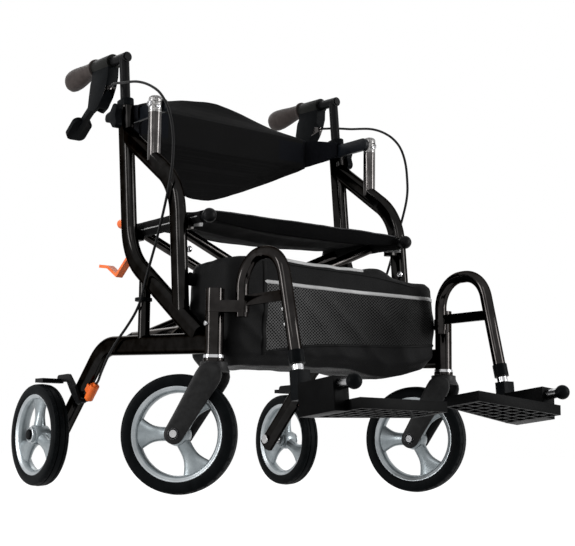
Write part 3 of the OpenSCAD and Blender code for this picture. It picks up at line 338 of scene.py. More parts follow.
def piece(name, bm, finish, body=None, sharp=35, stands_for=()):
    """A finished mesh with its place in its own vertices, riding on a body of the frame."""
    mesh = bpy.data.meshes.new(name)
    bm.to_mesh(mesh)
    bm.free()
    for coat in finish if isinstance(finish, list) else [finish]:
        mesh.materials.append(finishes[coat])
    mesh.polygons.foreach_set("use_smooth", [True] * len(mesh.polygons))
    if sharp:
        mesh.set_sharp_from_angle(angle=math.radians(sharp))
    made = bpy.data.objects.new(name, mesh)
    scene.collection.objects.link(made)
    if body:
        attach(made, body)
    if stands_for:
        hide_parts(*stands_for)
    return made


def turned(profile, base, axis, steps=48, closed=False, bm=None):
    """Spins a profile of (along the axis, radius) pairs about an axis, in a new mesh unless one is given."""
    bm = bmesh.new() if bm is None else bm
    stand = Matrix.Translation(base) @ axis.to_track_quat("Z", "Y").to_matrix().to_4x4()
    verts = [bm.verts.new(stand @ Vector((r * MM, 0, z * MM))) for z, r in profile]
    pairs = list(zip(verts, verts[1:])) + ([(verts[-1], verts[0])] if closed else [])
    edges = [bm.edges.new(pair) for pair in pairs]
    bmesh.ops.spin(
        bm, geom=verts + edges, cent=base, axis=axis.normalized(), angle=math.tau, steps=steps, use_merge=True)
    bmesh.ops.remove_doubles(bm, verts=bm.verts, dist=1e-6)
    bmesh.ops.recalc_face_normals(bm, faces=bm.faces)
    return bm


def drawn(stations, segments, square=1.0, bm=None):
    """Draws a unit circle through a row of stations, each a matrix that sets one ring, and caps both ends.

    A square below 1 flattens the ring's sides."""
    bm = bmesh.new() if bm is None else bm
    verts = bmesh.ops.create_circle(bm, segments=segments, radius=1)["verts"]
    for vert in verts:
        x, y = (math.copysign(abs(c) ** square, c) for c in vert.co.xy)
        vert.co = stations[0] @ Vector((x, y, 0))
    edges = list({e for v in verts for e in v.link_edges})
    first = edges
    for before, after in zip(stations, stations[1:]):
        grown = bmesh.ops.extrude_edge_only(bm, edges=edges)["geom"]
        verts = [g for g in grown if isinstance(g, bmesh.types.BMVert)]
        edges = [g for g in grown if isinstance(g, bmesh.types.BMEdge) and all(v in verts for v in g.verts)]
        bmesh.ops.transform(bm, matrix=after @ before.inverted(), verts=verts)
    for loop in (first, edges):
        bmesh.ops.contextual_create(bm, geom=loop)
    bmesh.ops.recalc_face_normals(bm, faces=bm.faces)
    return bm


def softened(part, side, width, body=None, segments=3, cuts=(), paint=()):
    """A copy of a CAD node with its edges rounded over; cuts part its faces, and paint gives some another finish.

    It rides on its side's frame, unless a body is named."""
    node = f"{part}_{side}"
    bm = bmesh.new()
    bm.from_mesh(nodes[node].data)
    bmesh.ops.remove_doubles(bm, verts=bm.verts, dist=2e-6)
    bmesh.ops.dissolve_limit(bm, angle_limit=math.radians(1), verts=bm.verts, edges=bm.edges)
    edges = [e for e in bm.edges if e.is_manifold and e.calc_face_angle(0) > math.radians(30)]
    bmesh.ops.bevel(
        bm, geom=edges, offset=width * MM, offset_type="OFFSET", affect="EDGES", segments=segments, profile=0.5,
        material=-1, clamp_overlap=True)
    for spot, way in cuts:
        geometry = [*bm.verts, *bm.edges, *bm.faces]
        bmesh.ops.bisect_plane(bm, geom=geometry, dist=1e-7, plane_co=spot, plane_no=way)
    bmesh.ops.triangulate(bm, faces=[f for f in bm.faces if len(f.verts) > 4])
    for face in bm.faces:
        spot = face.calc_center_median()
        for index, (finish, holds) in enumerate(paint, 1):
            if holds(spot):
                face.material_index = index
    coats = [slot_of[node]] + [finish for finish, holds in paint]
    piece(node + ".soft", bm, coats, f"{body}_{side}" if body else FRAME_OF[side], 40, [node])


def webbing(name, points, face, width, thick, finish, body=None, segments=12):
    """A flat or round band laid through points, with its broad side towards a face."""
    stations = []
    last = len(points) - 1
    for i, point in enumerate(points):
        way = (points[min(i + 1, last)] - points[max(i - 1, 0)]).normalized()
        across = Vector(face).cross(way).normalized()
        turn = square_to(across, way.cross(across), way)
        stations.append(ring(point, turn, width / 2, thick / 2))
    return piece(name, drawn(stations, segments), finish, body, 50)


# Wheels; profiles run from one side to the middle
WHEEL_R = 101.6
TYRE_PROFILE = [
    (-12, 79.4), (-15.4, 80.6), (-16.9, 84.5), (-17, 88.5), (-16.9, 93), (-16.1, 96.8), (-14.5, 99.2),
    (-11.6, 100.5), (-8.4, 100.9), (-7.2, 101), (-6.8, 99.4), (-5.2, 99.4), (-4.8, 101.2), (0, 101.6)
]
LIP_PROFILE = [
    (-14.5, 81.4), (-14.8, 79.9), (-14.2, 78.2), (-12.9, 77), (-11.6, 74.2), (-9.5, 71.6), (-5, 69.8), (0, 69.2)
]
RIM_SEAT = (0, 80.6)
HUB_PROFILE = [(-20, 0), (-20, 12.5), (-19, 14), (-15.5, 15), (-14.5, 18.5), (-8, 20.5), (0, 21)]
TREAD_STEPS, TREAD_EVERY = 96, 3
TREAD_BAND, TREAD_FOOT = (8.4, 14.4), 96
BLOCK_INSET, BLOCK_DEPTH = 0.5, 0.4
LIP_FACE, LIP_R = 11.6, 75.5
SPOKES = 3
SPOKE_RINGS = (12, 18, 24, 30, 36, 42, 47, 52, 56, 60, 63, 66, 69, 71)
SPOKE_WIDTH = [(12, 25), (22, 24), (34, 24.5), (44, 28), (52, 35), (60, 45), (66, 54), (71, 63)]
SPOKE_DEPTH = [(12, 27), (22, 23), (34, 19), (52, 17.5), (71, 18)]
REAR_WHEEL_X, CASTER_X = 308, 266


def mirrored(profile):
    """A half profile and its mirror image, joined at the middle."""
    return profile + [(-z, r) for z, r in reversed(profile[:-1])]


def off_axis(face, centre, axis):
    """A face's place from a wheel's centre, its distance along the axle and its distance from it."""
    arm = face.calc_center_median() - centre
    along = arm.dot(axis)
    return arm, abs(along) / MM, (arm - axis * along).length / MM


def tyre(side, end, centre, axis, body):
    bm = turned(mirrored(TYRE_PROFILE), centre, axis, TREAD_STEPS, closed=True)
    up = axis.orthogonal().normalized()
    sideways = axis.cross(up)
    blocks = []
    for face in bm.faces:
        arm, along, out = off_axis(face, centre, axis)
        step = math.floor(math.atan2(arm.dot(up), arm.dot(sideways)) / math.tau * TREAD_STEPS)
        if within(along, TREAD_BAND) and out > TREAD_FOOT and step % TREAD_EVERY == 0:
            blocks.append(face)
    bmesh.ops.inset_individual(bm, faces=blocks, thickness=BLOCK_INSET * MM, depth=-BLOCK_DEPTH * MM)
    node = f"{end}_tyre_{side}"
    piece(node + ".tread", bm, "tyre_black", body, 30, [node])


def spoke(bm, centre, axis, angle):
    """A half-round spoke that flares into the rim."""
    across = axis.cross(UP).normalized()
    way = math.cos(angle) * across + math.sin(angle) * across.cross(axis)
    turn = square_to(axis.cross(way), axis, way)
    drawn([
        ring(centre + way * r * MM, turn, along_table(SPOKE_WIDTH, r) / 2, along_table(SPOKE_DEPTH, r) / 2)
        for r in SPOKE_RINGS
    ], 28, bm=bm)


def rim(side, end, centre, axis, first_spoke, body):
    bm = turned(mirrored(LIP_PROFILE) + [RIM_SEAT], centre, axis, TREAD_STEPS, closed=True)
    turned(mirrored(HUB_PROFILE), centre, axis, bm=bm)
    for i in range(SPOKES):
        spoke(bm, centre, axis, math.radians(first_spoke) + math.tau * i / SPOKES)
    for face in bm.faces:
        arm, along, out = off_axis(face, centre, axis)
        face.material_index = int(along > LIP_FACE and out > LIP_R)
    node = f"{end}_rim_{side}"
    piece(node + ".cast", bm, ["rim_silver", "lip_bright"], body, 32, [node])


def caster(side, sign):
    """Wheel centre, swivel at axle height, the way the wheel trails and its axle's way."""
    low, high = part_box(f"front_tyre_{side}")
    centre, swivel = (low + high) / 2, at(sign * CASTER_X, 0, WHEEL_R)
    trail = (centre - swivel).normalized()
    return centre, swivel, trail, Vector((trail.y, -trail.x, 0))


for side, sign in SIDES.items():
    rear = at(sign * REAR_WHEEL_X, REAR_AXLE_Y, WHEEL_R)
    tyre(side, "rear", rear, X_AXIS, f"rear_wheel_{side}")
    rim(side, "rear", rear, X_AXIS, 90, f"rear_wheel_{side}")
    front, swivel, trail, axle = caster(side, sign)
    tyre(side, "front", front, axle, f"front_wheel_{side}")
    rim(side, "front", front, axle, 180, f"front_wheel_{side}")

# Caster forks: a flat-topped crown over two broad blades that taper to the axle
CROWN_Z, BLADE_L = 200.2, 114.9
CROWN_PROFILE = [
    (223.6, 0), (223.6, 21.8), (223.2, 23), (221.8, 23.6), (219, 23.4), (216, 23.8), (212, 25.2), (208.5, 27.2),
    (206.4, 28), (205.4, 26), (205.4, 0)
]
# Run along the blade, width, thickness, distance from the wheel's plane
BLADE_STATIONS = [
    (-21.5, 10, 3, 20.6), (-20, 20, 5.5, 21.4), (-16, 31, 8, 22.8), (-10, 39.5, 9.6, 24.2), (-2, 44.4, 10, 25.2),
    (8, 45.2, 9.6, 25.8), (24, 43.6, 9, 26), (45, 41.2, 8.6, 26), (68, 38.8, 8.4, 26), (92, 36.6, 8.2, 26),
    (108, 35.6, 8.2, 26), (116, 35.2, 8.2, 26), (122, 32.6, 8.1, 26), (126.5, 27.4, 7.8, 26),
    (129.8, 20.4, 7, 26), (131.8, 12.4, 5.4, 26), (132.5, 5, 3, 26)
]


def fork(side, sign):
    centre, swivel, trail, axle = caster(side, sign)
    foot = Vector((swivel.x, swivel.y, 0))
    bm = turned(CROWN_PROFILE, foot, UP)
    fall = WHEEL_R - CROWN_Z
    reach = math.sqrt(BLADE_L ** 2 - fall ** 2)
    way = (trail * reach + UP * fall).normalized()
    turn = square_to(way.cross(axle), -axle, way)
    for hand in (-1, 1):
        stations = []
        for run, width, thick, out in BLADE_STATIONS:
            spot = foot + (UP * CROWN_Z + way * run + axle * hand * out) * MM
            stations.append(ring(spot, turn, width / 2, thick / 2))
        drawn(stations, 36, 0.62, bm)
    node = f"caster_fork_{side}"
    piece(node + ".boot", bm, "fork_black", f"caster_{side}", 50, [node])


both_sides(fork)

# Handles: y along the bar to the rear, z square to it
HANDLE_Y, HANDLE_Z, FRAME_X, BAR_RISE = 345.46, 838, 263, math.radians(2)


def on_handle(sign, y, z):
    y, z = tilted(y, z, BAR_RISE)
    return at(sign * FRAME_X, HANDLE_Y + y, HANDLE_Z + z)


def handle_measures(spot):
    x, y, z = measures(spot)
    return tilted(y - HANDLE_Y, z - HANDLE_Z, -BAR_RISE)


# Rounded copies of the moulded, cast and two-toned pieces
BAR_CLAMP_FOOT, FERRULE_REAR, FERRULE_Z = -13, 57, (-60, -46)
POST_Y, POST_R, POST_FOOT, POST_HEAD, POST_TOP = 221, 12.5, 610, 702, 800
ARM_SLOPE, ARM_CLEAR, POST_SKIN = 0.6745, 21, 0.4
LEG_END, LEG_WAY, END_COLLAR, COLLAR_SKIN = (-188.4, 213), (0.2484, 0.9687), 22, 0.5
ROD_X, ROD_FRONT, ROD_TILT, ROD_R = 231, (-330.5, 181), math.radians(6), 9
ROD_BALL, ROD_REAR = 10, 121.5
CLAMP_RUN, CLAMP_TALL, CLAMP_HALF = (ROD_REAR, 144.2), (-12.8, 36.3), 11.5
CORE_RUN, CORE_TALL = (122.6, 143), (-11.8, 35.2)
AXLE_CAP = 20.2
HEAD_RING = (230, 235)


def everywhere(spot):
    return True


def on_bar_clamp(spot):
    return handle_measures(spot)[1] > BAR_CLAMP_FOOT


def on_ferrule(spot):
    """Test for the metal end of a brake housing, where the cable leaves it."""
    y, z = handle_measures(spot)
    return y < FERRULE_REAR and within(z, FERRULE_Z)


def on_axle_cap(spot):
    return abs(measures(spot)[0]) > REAR_WHEEL_X + AXLE_CAP


def on_post(sign, low, high):
    """Test for the skin of a backrest post, clear of the arm tube it stands on."""
    def holds(spot):
        x, y, z = measures(spot, sign)
        clear = z > POST_FOOT + (y - POST_Y) * ARM_SLOPE + ARM_CLEAR
        return clear and low < z < high and math.hypot(x - FRAME_X, y - POST_Y) < POST_R + POST_SKIN
    return holds


def on_end_collar(spot):
    x, y, z = measures(spot)
    return (y - LEG_END[0]) * LEG_WAY[0] + (z - LEG_END[1]) * LEG_WAY[1] < END_COLLAR + COLLAR_SKIN


def on_head_ring(spot):
    return within(measures(spot)[2], HEAD_RING)


def along_rod(spot):
    """Distance behind the front end of a hinge rod, and height square to it."""
    x, y, z = measures(spot)
    return tilted(y - ROD_FRONT[0], z - ROD_FRONT[1], ROD_TILT)


def on_rod_ends(spot):
    """Test for the ball at the front of a hinge rod and the clamp at its rear, not what the clamp holds."""
    y, z = along_rod(spot)
    x = abs(abs(measures(spot)[0]) - ROD_X)
    core = x <= CLAMP_HALF and CORE_RUN[0] <= y <= CORE_RUN[1] and CORE_TALL[0] <= z <= CORE_TALL[1]
    return y < ROD_BALL or within(y, CLAMP_RUN) and within(z, CLAMP_TALL) and not core


def on_rod(spot):
    y, z = along_rod(spot)
    return ROD_BALL <= y <= ROD_REAR and abs(z) < ROD_R


for side, sign in SIDES.items():
    softened(
        "brake_housing", side, 4.5, "handle", segments=4,
        paint=[("clamp_olive", on_bar_clamp), ("post_chrome", on_ferrule)])
    softened("brake_lever", side, 2.6, "lever")
    softened("height_knob", side, 1.5, "knob")
    softened("height_collar", side, 1.2)
    softened("backrest_arm", side, 1.0, "backrest", paint=[("arm_blue", everywhere)])
    softened("release_button", side, 0.8, "button", paint=[("steel", everywhere)])
    softened("footplate", side, 0.8, "plate", paint=[("plate_black", everywhere)])
    softened("rear_axle", side, 0.6, paint=[("charcoal_plastic", on_axle_cap)])
    softened(
        "leg_extension", side, 2.5, "leg", paint=[("charcoal_plastic", on_rod_ends), ("rod_steel", on_rod)])
    collar_end = at(sign * ROD_X, *(end + way * END_COLLAR for end, way in zip(LEG_END, LEG_WAY)))
    softened(
        "footrest_hanger", side, 0.8, "hanger", cuts=[(collar_end, (0, *LEG_WAY))],
        paint=[("charcoal_plastic", on_end_collar)])
    softened(
        "caster_head", side, 0.8, cuts=[(at(0, 0, HEAD_RING[0]), UP)], paint=[("bright_chrome", on_head_ring)])
    softened(
        "arm_tube", side, 0.6, cuts=[(at(0, 0, POST_HEAD), UP)],
        paint=[("post_chrome", on_post(sign, 0, POST_HEAD)), ("cast_head", on_post(sign, POST_HEAD, POST_TOP))])

# Hand grips: place along the bar, half width, height above and below the bar's middle
GRIP_STATIONS = [
    (110.2, 18, 18, 18), (111, 19, 19, 19), (114.5, 19.2, 19.2, 19.2), (117, 18, 18, 18.2), (119, 15.8, 15.8, 16),
    (128, 15.2, 15.2, 16), (140, 15.2, 15.2, 18), (155, 15.8, 15.4, 22), (170, 16.8, 16, 26),
    (186, 17.6, 16.6, 29.5), (202, 17.8, 16.6, 31), (214, 17.2, 15.6, 30), (223, 15.2, 13.2, 26),
    (229, 11.5, 9.6, 19), (231.6, 6, 5, 10)
]


def grip(side, sign):
    turn = Matrix.Rotation(math.radians(90) + BAR_RISE, 4, "X")
    stations = [
        ring(on_handle(sign, y, (up - down) / 2), turn, half, (up + down) / 2)
        for y, half, up, down in GRIP_STATIONS
    ]
    node = f"hand_grip_{side}"
    piece(node + ".moulded", drawn(stations, 32), "grip_taupe", f"handle_{side}", 40, [node])


both_sides(grip)

# Brake cables, along the route that the frame carries them, and free between the handle and the frame
CABLE_ROUTE = [
    (267, 391, 788), (271, 380, 787), (279, 360, 785), (285, 338, 781), (287, 310, 775), (288, 280, 770),
    (288, 250, 764), (287, 222, 755), (286, 196, 743), (285, 172, 728), (285, 152, 709), (284, 138, 688),
    (283, 128, 662), (282, 123, 634), (282, 122, 606), (281, 126, 580), (280, 136, 550), (279, 149, 518),
    (279, 164, 482), (279, 181, 444), (279, 198, 411), (279, 213, 380), (279, 226, 350), (279, 245, 326),
    (280, 270, 304), (280, 296, 286), (280, 322, 267), (279, 346, 247), (275, 368, 231), (269, 390, 218),
    (265, 406, 206), (263, 417, 201)
]
CABLE_D = 5


def smooth_route(points, parts=4):
    """A finer line that runs smoothly through every point."""
    line = []
    for i in range(len(points) - 1):
        before, a, b, after = (points[min(max(k, 0), len(points) - 1)] for k in (i - 1, i, i + 1, i + 2))
        bend, twist = 2 * before - 5 * a + 4 * b - after, 3 * a - before - 3 * b + after
        for step in range(parts):
            t = step / parts
            line.append(a + ((b - before) * t + bend * t * t + twist * t ** 3) / 2)
    return line + [points[-1]]


def brake_cable(side, sign):
    """A brake cable along its route, in place of the CAD cable, baked where it lies."""
    points = smooth_route([at(sign * x, y, z) for x, y, z in CABLE_ROUTE])
    made = webbing(
        f"brake_cable_{side}.sheath", points, X_AXIS, CABLE_D, CABLE_D, "cable_rubber",
        segments=16)
    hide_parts(f"brake_cable_{side}")
    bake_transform(made)


both_sides(brake_cable)

# Bolts, washers, rings and clips
POST_CAP, POST_CAP_Z = [(-6, 12.7), (0.5, 12.7), (3, 12), (5.2, 9.6), (6.6, 5.6), (7, 0)], 728
WASHER, FORK_TIP = [(0, 9.4), (1.2, 9.4), (2, 8.6), (2, 6.6), (1.4, 6.4), (1.4, 0)], 30.3
HUB_RING, REAR_HUB = [(-0.4, 15.2), (1.4, 15.2), (2.2, 14.2), (2.2, 12.6), (-0.4, 12.4)], 20
POST_BOLT_SEAT = POST_R - 0.6
LEG_BUTTONS, LEG_BUTTON_SEAT = (303, 278), 10.6
BOSS = (CASTER_X - 17, -14, 318)
ARM_BOLT = (FRAME_X - 11.2, 110, 431)
CLIP_AT, CLIP_HALF, CLIP_Z = (267, 238), (15.4, 14.4), (346, 353)
CLIP_EDGE = ((0, 1.6), (0.04, 0.5), (0.1, 0), (0.9, 0), (0.96, 0.5), (1, 1.6))


def bolts(name, body, finish, *rows):
    """A set of button heads with round sockets, each a place, a facing, a radius and a height."""
    bm = bmesh.new()
    for place, way, radius, height in rows:
        turned([
            (0, radius), (0.45 * height, radius), (0.8 * height, 0.86 * radius), (height, 0.6 * radius),
            (height, 0.44 * radius), (0.45 * height, 0.4 * radius), (0.45 * height, 0)
        ], place, way, 20, bm=bm)
    piece(name, bm, finish, body, 40)


def leg_buttons(side, sign):
    way = Vector((0.75 * sign, 0.66, 0)).normalized()
    for z in LEG_BUTTONS:
        y = LEG_END[0] + (z - LEG_END[1]) * LEG_WAY[0] / LEG_WAY[1]
        place = at(sign * ROD_X, y, z) + way * LEG_BUTTON_SEAT * MM
        bolts(f"leg_button_{z}_{side}", f"hanger_{side}", "steel", (place, way, 3, 2.2))


def cable_clip(side, sign):
    """A clip of oval section round the upright tube."""
    stations = []
    for share, shrink in CLIP_EDGE:
        z = CLIP_Z[0] + (CLIP_Z[1] - CLIP_Z[0]) * share
        centre = at(sign * CLIP_AT[0], CLIP_AT[1], z)
        stations.append(ring(centre, Matrix(), *(half - shrink for half in CLIP_HALF)))
    bm = drawn(stations, 32, 0.8)
    piece(f"cable_clip_{side}", bm, "charcoal_plastic", FRAME_OF[side], 50)


for side, sign in SIDES.items():
    frame_body = FRAME_OF[side]
    out = X_AXIS * sign
    bolts(
        f"back_post_bolt_{side}", frame_body, "bright_chrome",
        (at(sign * (FRAME_X + POST_BOLT_SEAT), POST_Y, 718), out, 6.5, 4),
        (at(sign * FRAME_X, POST_Y - POST_BOLT_SEAT, 712), FRONT, 4, 2.6))
    bm = turned(POST_CAP, at(sign * FRAME_X, POST_Y, POST_CAP_Z), UP, 36)
    piece(f"back_post_cap_{side}", bm, "cast_head", frame_body, 50)
    hub, swivel, trail, axle = caster(side, sign)
    bm = bmesh.new()
    for way in (-axle, axle):
        turned(WASHER, hub + way * FORK_TIP * MM, way, 28, bm=bm)
    piece(f"axle_washer_{side}", bm, "charcoal_plastic", f"caster_{side}", 40)
    leg_buttons(side, sign)
    bm = turned(HUB_RING, at(sign * (REAR_WHEEL_X + REAR_HUB), REAR_AXLE_Y, WHEEL_R), out, 40, closed=True)
    piece(f"hub_ring_{side}", bm, "lip_bright", f"rear_wheel_{side}", 40)
    boss = at(sign * BOSS[0], *BOSS[1:])
    bolts(
        f"boss_bolts_{side}", f"hanger_{side}", "bright_chrome",
        (boss + Vector((0, -7.5, 3)) * MM, Vector((0.2 * sign, -1, 0)), 4.6, 4),
        (boss + Vector((-sign * 14, -20, 0)) * MM, Vector((0.5 * sign, -1, 0)), 3.4, 3))
    bolts(f"arm_bolt_{side}", frame_body, "bright_chrome", (at(sign * ARM_BOLT[0], *ARM_BOLT[1:]), -out, 6, 5))
    cable_clip(side, sign)

# Soft goods
PAD_CLOTH = dict(
    quality=6, mass=0.02, tension_stiffness=12, compression_stiffness=12, shear_stiffness=6, bending_stiffness=0.4,
    use_pressure=True, vertex_group_mass="sewn")
PAD_PRESSURE, PAD_FRAMES = 14, 20
BLUNT_END = 0.9985


def crumple(point, scale, depth):
    """A slow, repeatable unevenness in cloth."""
    return noise.noise(point * scale) * depth


def flat_grid(wide, tall, size=1):
    """A grid of faces from -size to size."""
    bm = bmesh.new()
    bmesh.ops.create_grid(bm, x_segments=wide, y_segments=tall, size=size)
    return bm


def lay_flat(bm, spot, size):
    """Gives every corner its place on the flat cloth in metres, from its vertex's spot between -1 and 1."""
    uv = bm.loops.layers.uv.new("flat")
    for face in bm.faces:
        for loop in face.loops:
            u, v = spot(loop.vert)
            loop[uv].uv = (u * size[0] / 2, v * size[1] / 2)


def puffed(made, cap):
    """Swells a closed pad as sewn cloth under pressure, by no more than a cap, and keeps the result."""
    rest = [v.co.copy() for v in made.data.vertices]
    swell = made.modifiers.new("swell", "CLOTH")
    for key, value in PAD_CLOTH.items():
        setattr(swell.settings, key, value)
    swell.settings.uniform_pressure_force = PAD_PRESSURE
    swell.settings.effector_weights.gravity = 0
    swell.collision_settings.use_collision = False
    for step in range(1, PAD_FRAMES + 1):
        scene.frame_set(step)
    shown = made.evaluated_get(bpy.context.evaluated_depsgraph_get())
    swollen = [v.co.copy() for v in shown.to_mesh().vertices]
    shown.to_mesh_clear()
    made.modifiers.remove(swell)
    for vert, start, end in zip(made.data.vertices, rest, swollen):
        move = end - start
        if move.length > cap * MM:
            move *= cap * MM / move.length
        vert.co = start + move
    scene.frame_set(1)


def pad(name, shape, wide, tall, size, finish, sewn, blunt=False):
    """A closed pad from a shape(u, v, face) that gives the front and back skin; sewn(u, v) pins its seams.

    A blunt pad keeps square ends when it is rounded."""
    def spot(vert):
        u, v = vert.co.xy
        near_end = blunt and abs(abs(u) - 1 + 2 / wide) < 1e-4
        return math.copysign(BLUNT_END, u) if near_end else u, v

    bm = flat_grid(wide, tall)
    back = bmesh.ops.duplicate(bm, geom=[*bm.verts, *bm.edges, *bm.faces])["geom"]
    back_verts = {g for g in back if isinstance(g, bmesh.types.BMVert)}
    bmesh.ops.bridge_loops(bm, edges=[e for e in bm.edges if e.is_boundary])
    lay_flat(bm, spot, size)
    bm.verts.index_update()
    pinned = []
    for vert in bm.verts:
        u, v = spot(vert)
        if sewn(u, v):
            pinned.append(vert.index)
        vert.co = shape(u, v, -1 if vert in back_verts else 1)
    bmesh.ops.recalc_face_normals(bm, faces=bm.faces)
    made = piece(name, bm, finish, sharp=None)
    made.vertex_groups.new(name="sewn").add(pinned, 1, "REPLACE")
    return made


def finer(made):
    """Rounds a soft piece with a subdivision that is made part of its mesh."""
    step = made.modifiers.new("finer", "SUBSURF")
    step.levels = step.render_levels = 1
    shown = made.evaluated_get(bpy.context.evaluated_depsgraph_get())
    mesh = bpy.data.meshes.new_from_object(shown)
    made.modifiers.clear()
    old = made.data
    made.data = mesh
    bpy.data.meshes.remove(old)


# Seat: a padded sling between the two rails, with a deep front band
SEAT_Z, RAIL_X, RAIL_R = 490, 232.5, 9
SEAT_FRONT, SEAT_REAR, SEAT_EDGE = 90, 326, 507
BAND_DROP, BAND_BEND, SLING_T = 33, 6, 7
SEAT_RUN = SEAT_REAR - SEAT_FRONT + BAND_DROP
SAG_RUN = [(0, 1.5), (40, 8), (90, 18), (130, 22), (180, 20), (236, 11)]
SEAT_SEAMS = (5, BAND_DROP, BAND_DROP + 62, BAND_DROP + 128, SEAT_RUN - 9)
EDGE_PIPING, HEM_PIPING = BAND_DROP - 1, 4
LAID_BACK = Matrix.Rotation(math.radians(90), 4, "X")


def seat_v(place):
    """Place on the sling, between -1 and 1, of a distance from its front hem."""
    return 2 * place / SEAT_RUN - 1


def seat_skin(u, v, face):
    s = (v + 1) / 2 * SEAT_RUN
    flat = max(0, s - BAND_DROP)
    top = SEAT_EDGE - along_table(SAG_RUN, flat) * (1 - u * u) - 5 * u ** 6
    hang = 1 - 0.6 * u ** 4
    if s < BAND_DROP - BAND_BEND:
        y, z, n = SEAT_FRONT + 1, top - (BAND_DROP - s) * hang, FRONT
    elif s < BAND_DROP + BAND_BEND:
        a = (s - BAND_DROP + BAND_BEND) / (2 * BAND_BEND) * math.pi / 2
        y = SEAT_FRONT + 1 + BAND_BEND * (1 - math.cos(a))
        z = top - BAND_BEND * hang * (1 - math.sin(a))
        n = Vector((0, -math.cos(a), math.sin(a)))
    else:
        y, z, n = SEAT_FRONT + flat, top, UP
    point = at(u * (RAIL_X - 4), y, z)
    ends = (1 - u ** 12) * (1 - v ** 20)
    half = SLING_T / 2 * (0.35 + 0.65 * ends)
    ruck = crumple(point, 24, 1.4) + crumple(point, 60, 0.6)
    return point + n * (face * half - half + ruck * ends) * MM


def across_seat(made):
    """Bakes a piece of the seat's place into its own vertices."""
    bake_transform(made)


def on_seat_seam(u, v):
    return abs(u) > 0.95 or abs(v) > 0.97 or any(abs(v - seat_v(place)) < 0.018 for place in SEAT_SEAMS)


def seat_piping(name, place, lean, finish):
    way = Vector((0, -1, lean))
    points = [seat_skin(u, seat_v(place), 1) + way.normalized() * 0.6 * MM for u in spaced(-0.97, 0.97, 60)]
    across_seat(webbing(name, points, way, 2.6, 2.6, finish))


def make_seat():
    seat = pad("seat_sling.pad", seat_skin, 84, 62, (0.46, 0.269), "seat_cloth", on_seat_seam)
    puffed(seat, 4)
    finer(seat)
    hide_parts("seat_sling")
    across_seat(seat)
    seat_piping("seat_edge_piping", EDGE_PIPING, 0.6, "thread_grey")
    seat_piping("seat_hem_piping", HEM_PIPING, 0, "seat_cloth")


def seat_sleeve(side, sign):
    """The sewn channel that holds the sling on its rail, with a pale piping along its outer side."""
    stations = []
    body = "cross_b" if side == "r" else "cross_a"
    for y in spaced(SEAT_FRONT, SEAT_REAR, 24):
        pucker = 1 + 0.05 * noise.noise(Vector((0, y * 0.06, sign)))
        loose = 6 * smooth_step((y - SEAT_FRONT - 20) / 60) * pucker
        tall = (RAIL_R + 2.6) * pucker + loose / 2
        stations.append(ring(at(sign * RAIL_X, y, SEAT_Z + loose / 2), LAID_BACK, RAIL_R + 2, tall))
    piece(f"seat_sleeve_{side}", drawn(stations, 28), "belt_cloth", body)
    end = [at(sign * (RAIL_X + 3), SEAT_FRONT + 2 + 4 * i, 475 + 0.5 * i) for i in range(12)]
    webbing(f"seat_sleeve_end_{side}", end, X_AXIS * sign, 7, 2.4, "strip_grey", body, 10)
    line = [at(sign * (RAIL_X + 11), y, SEAT_Z) for y in spaced(SEAT_FRONT + 8, SEAT_FRONT + 224, 24)]
    webbing(f"seat_sleeve_piping_{side}", line, X_AXIS * sign, 2.4, 2.0, "strip_grey", body, 8)


make_seat()
both_sides(seat_sleeve)

# Backrest belt: a padded band between the arm ends, continued by a tight sleeve over each arm
BELT_R, BELT_T, BELT_LOW, BELT_TOP = 423, 14, 592, 798
ARM_END_X, ARM_END_Y = 211.4, 380.6
BELT_CY = ARM_END_Y - math.sqrt(BELT_R ** 2 - ARM_END_X ** 2)
BELT_SWEEP = math.asin(ARM_END_X / BELT_R) + 0.009
BELT_LOWER = [
    (-212, 96), (-203, 89), (-173, 72), (-142, 51), (-110, 28), (-85, 13), (-61, 5), (-40, 2.5), (-15, 4), (12, 8),
    (38, 14.5), (65, 25), (91, 35), (142, 58), (173, 74), (203, 89), (212, 96)
]
BELT_UPPER = [
    (-212, 41), (-203, 34), (-170, 19), (-150, 12), (-112, 2), (-86, -5), (-64, -9), (-26, -13), (0, -14),
    (26, -13.5), (50, -9), (80, -0.5), (116, 13), (150, 26), (170, 32), (203, 43), (212, 48)
]
ARM_X, ARM_TURN_Y, ARM_R, ARM_TURN, SLEEVE_START = 246.4, 320, 70, math.radians(60), 300
SLEEVE_LOW = [(0, 706), (20, 705.5), (45, 704), (70, 699), (93.3, 688)]
SLEEVE_TOP = [(0, 737), (20, 741), (45, 743.5), (70, 746), (93.3, 751)]


def belt_edges(x):
    return BELT_LOW + along_table(BELT_LOWER, x), BELT_TOP - along_table(BELT_UPPER, x)


def belt_skin(u, v, face):
    a = u * BELT_SWEEP
    x, y = BELT_R * math.sin(a), BELT_CY + BELT_R * math.cos(a)
    low, top = belt_edges(x)
    point = at(x, y, low + (top - low) * (v + 1) / 2)
    ends = 1 - abs(v) ** 20
    half = BELT_T / 2 * (0.3 + 0.5 * ends + 0.12 * ends * abs(u) ** 6)
    ruck = (crumple(point, 9, 1.6) + crumple(point, 26, 0.7)) * ends * (1 - u ** 8)
    return point + Vector((math.sin(a), math.cos(a), 0)) * (-face * half + ruck) * MM


def crescent_x(v):
    """Distance from the middle at which the belt's curved end seam lies."""
    return 164 + 38.9 * v * v - 6.7 * v


def crescent(v):
    return math.asin(crescent_x(v) / BELT_R) / BELT_SWEEP


def on_belt_seam(u, v):
    return abs(u) > 0.97 or abs(v) > 0.97 or abs(abs(u) - crescent(v)) < 0.011


def with_belt(made):
    """Carries a piece with the belt on the right backrest, with a mesh of its own."""
    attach(made, "backrest_r")
    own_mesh(made)


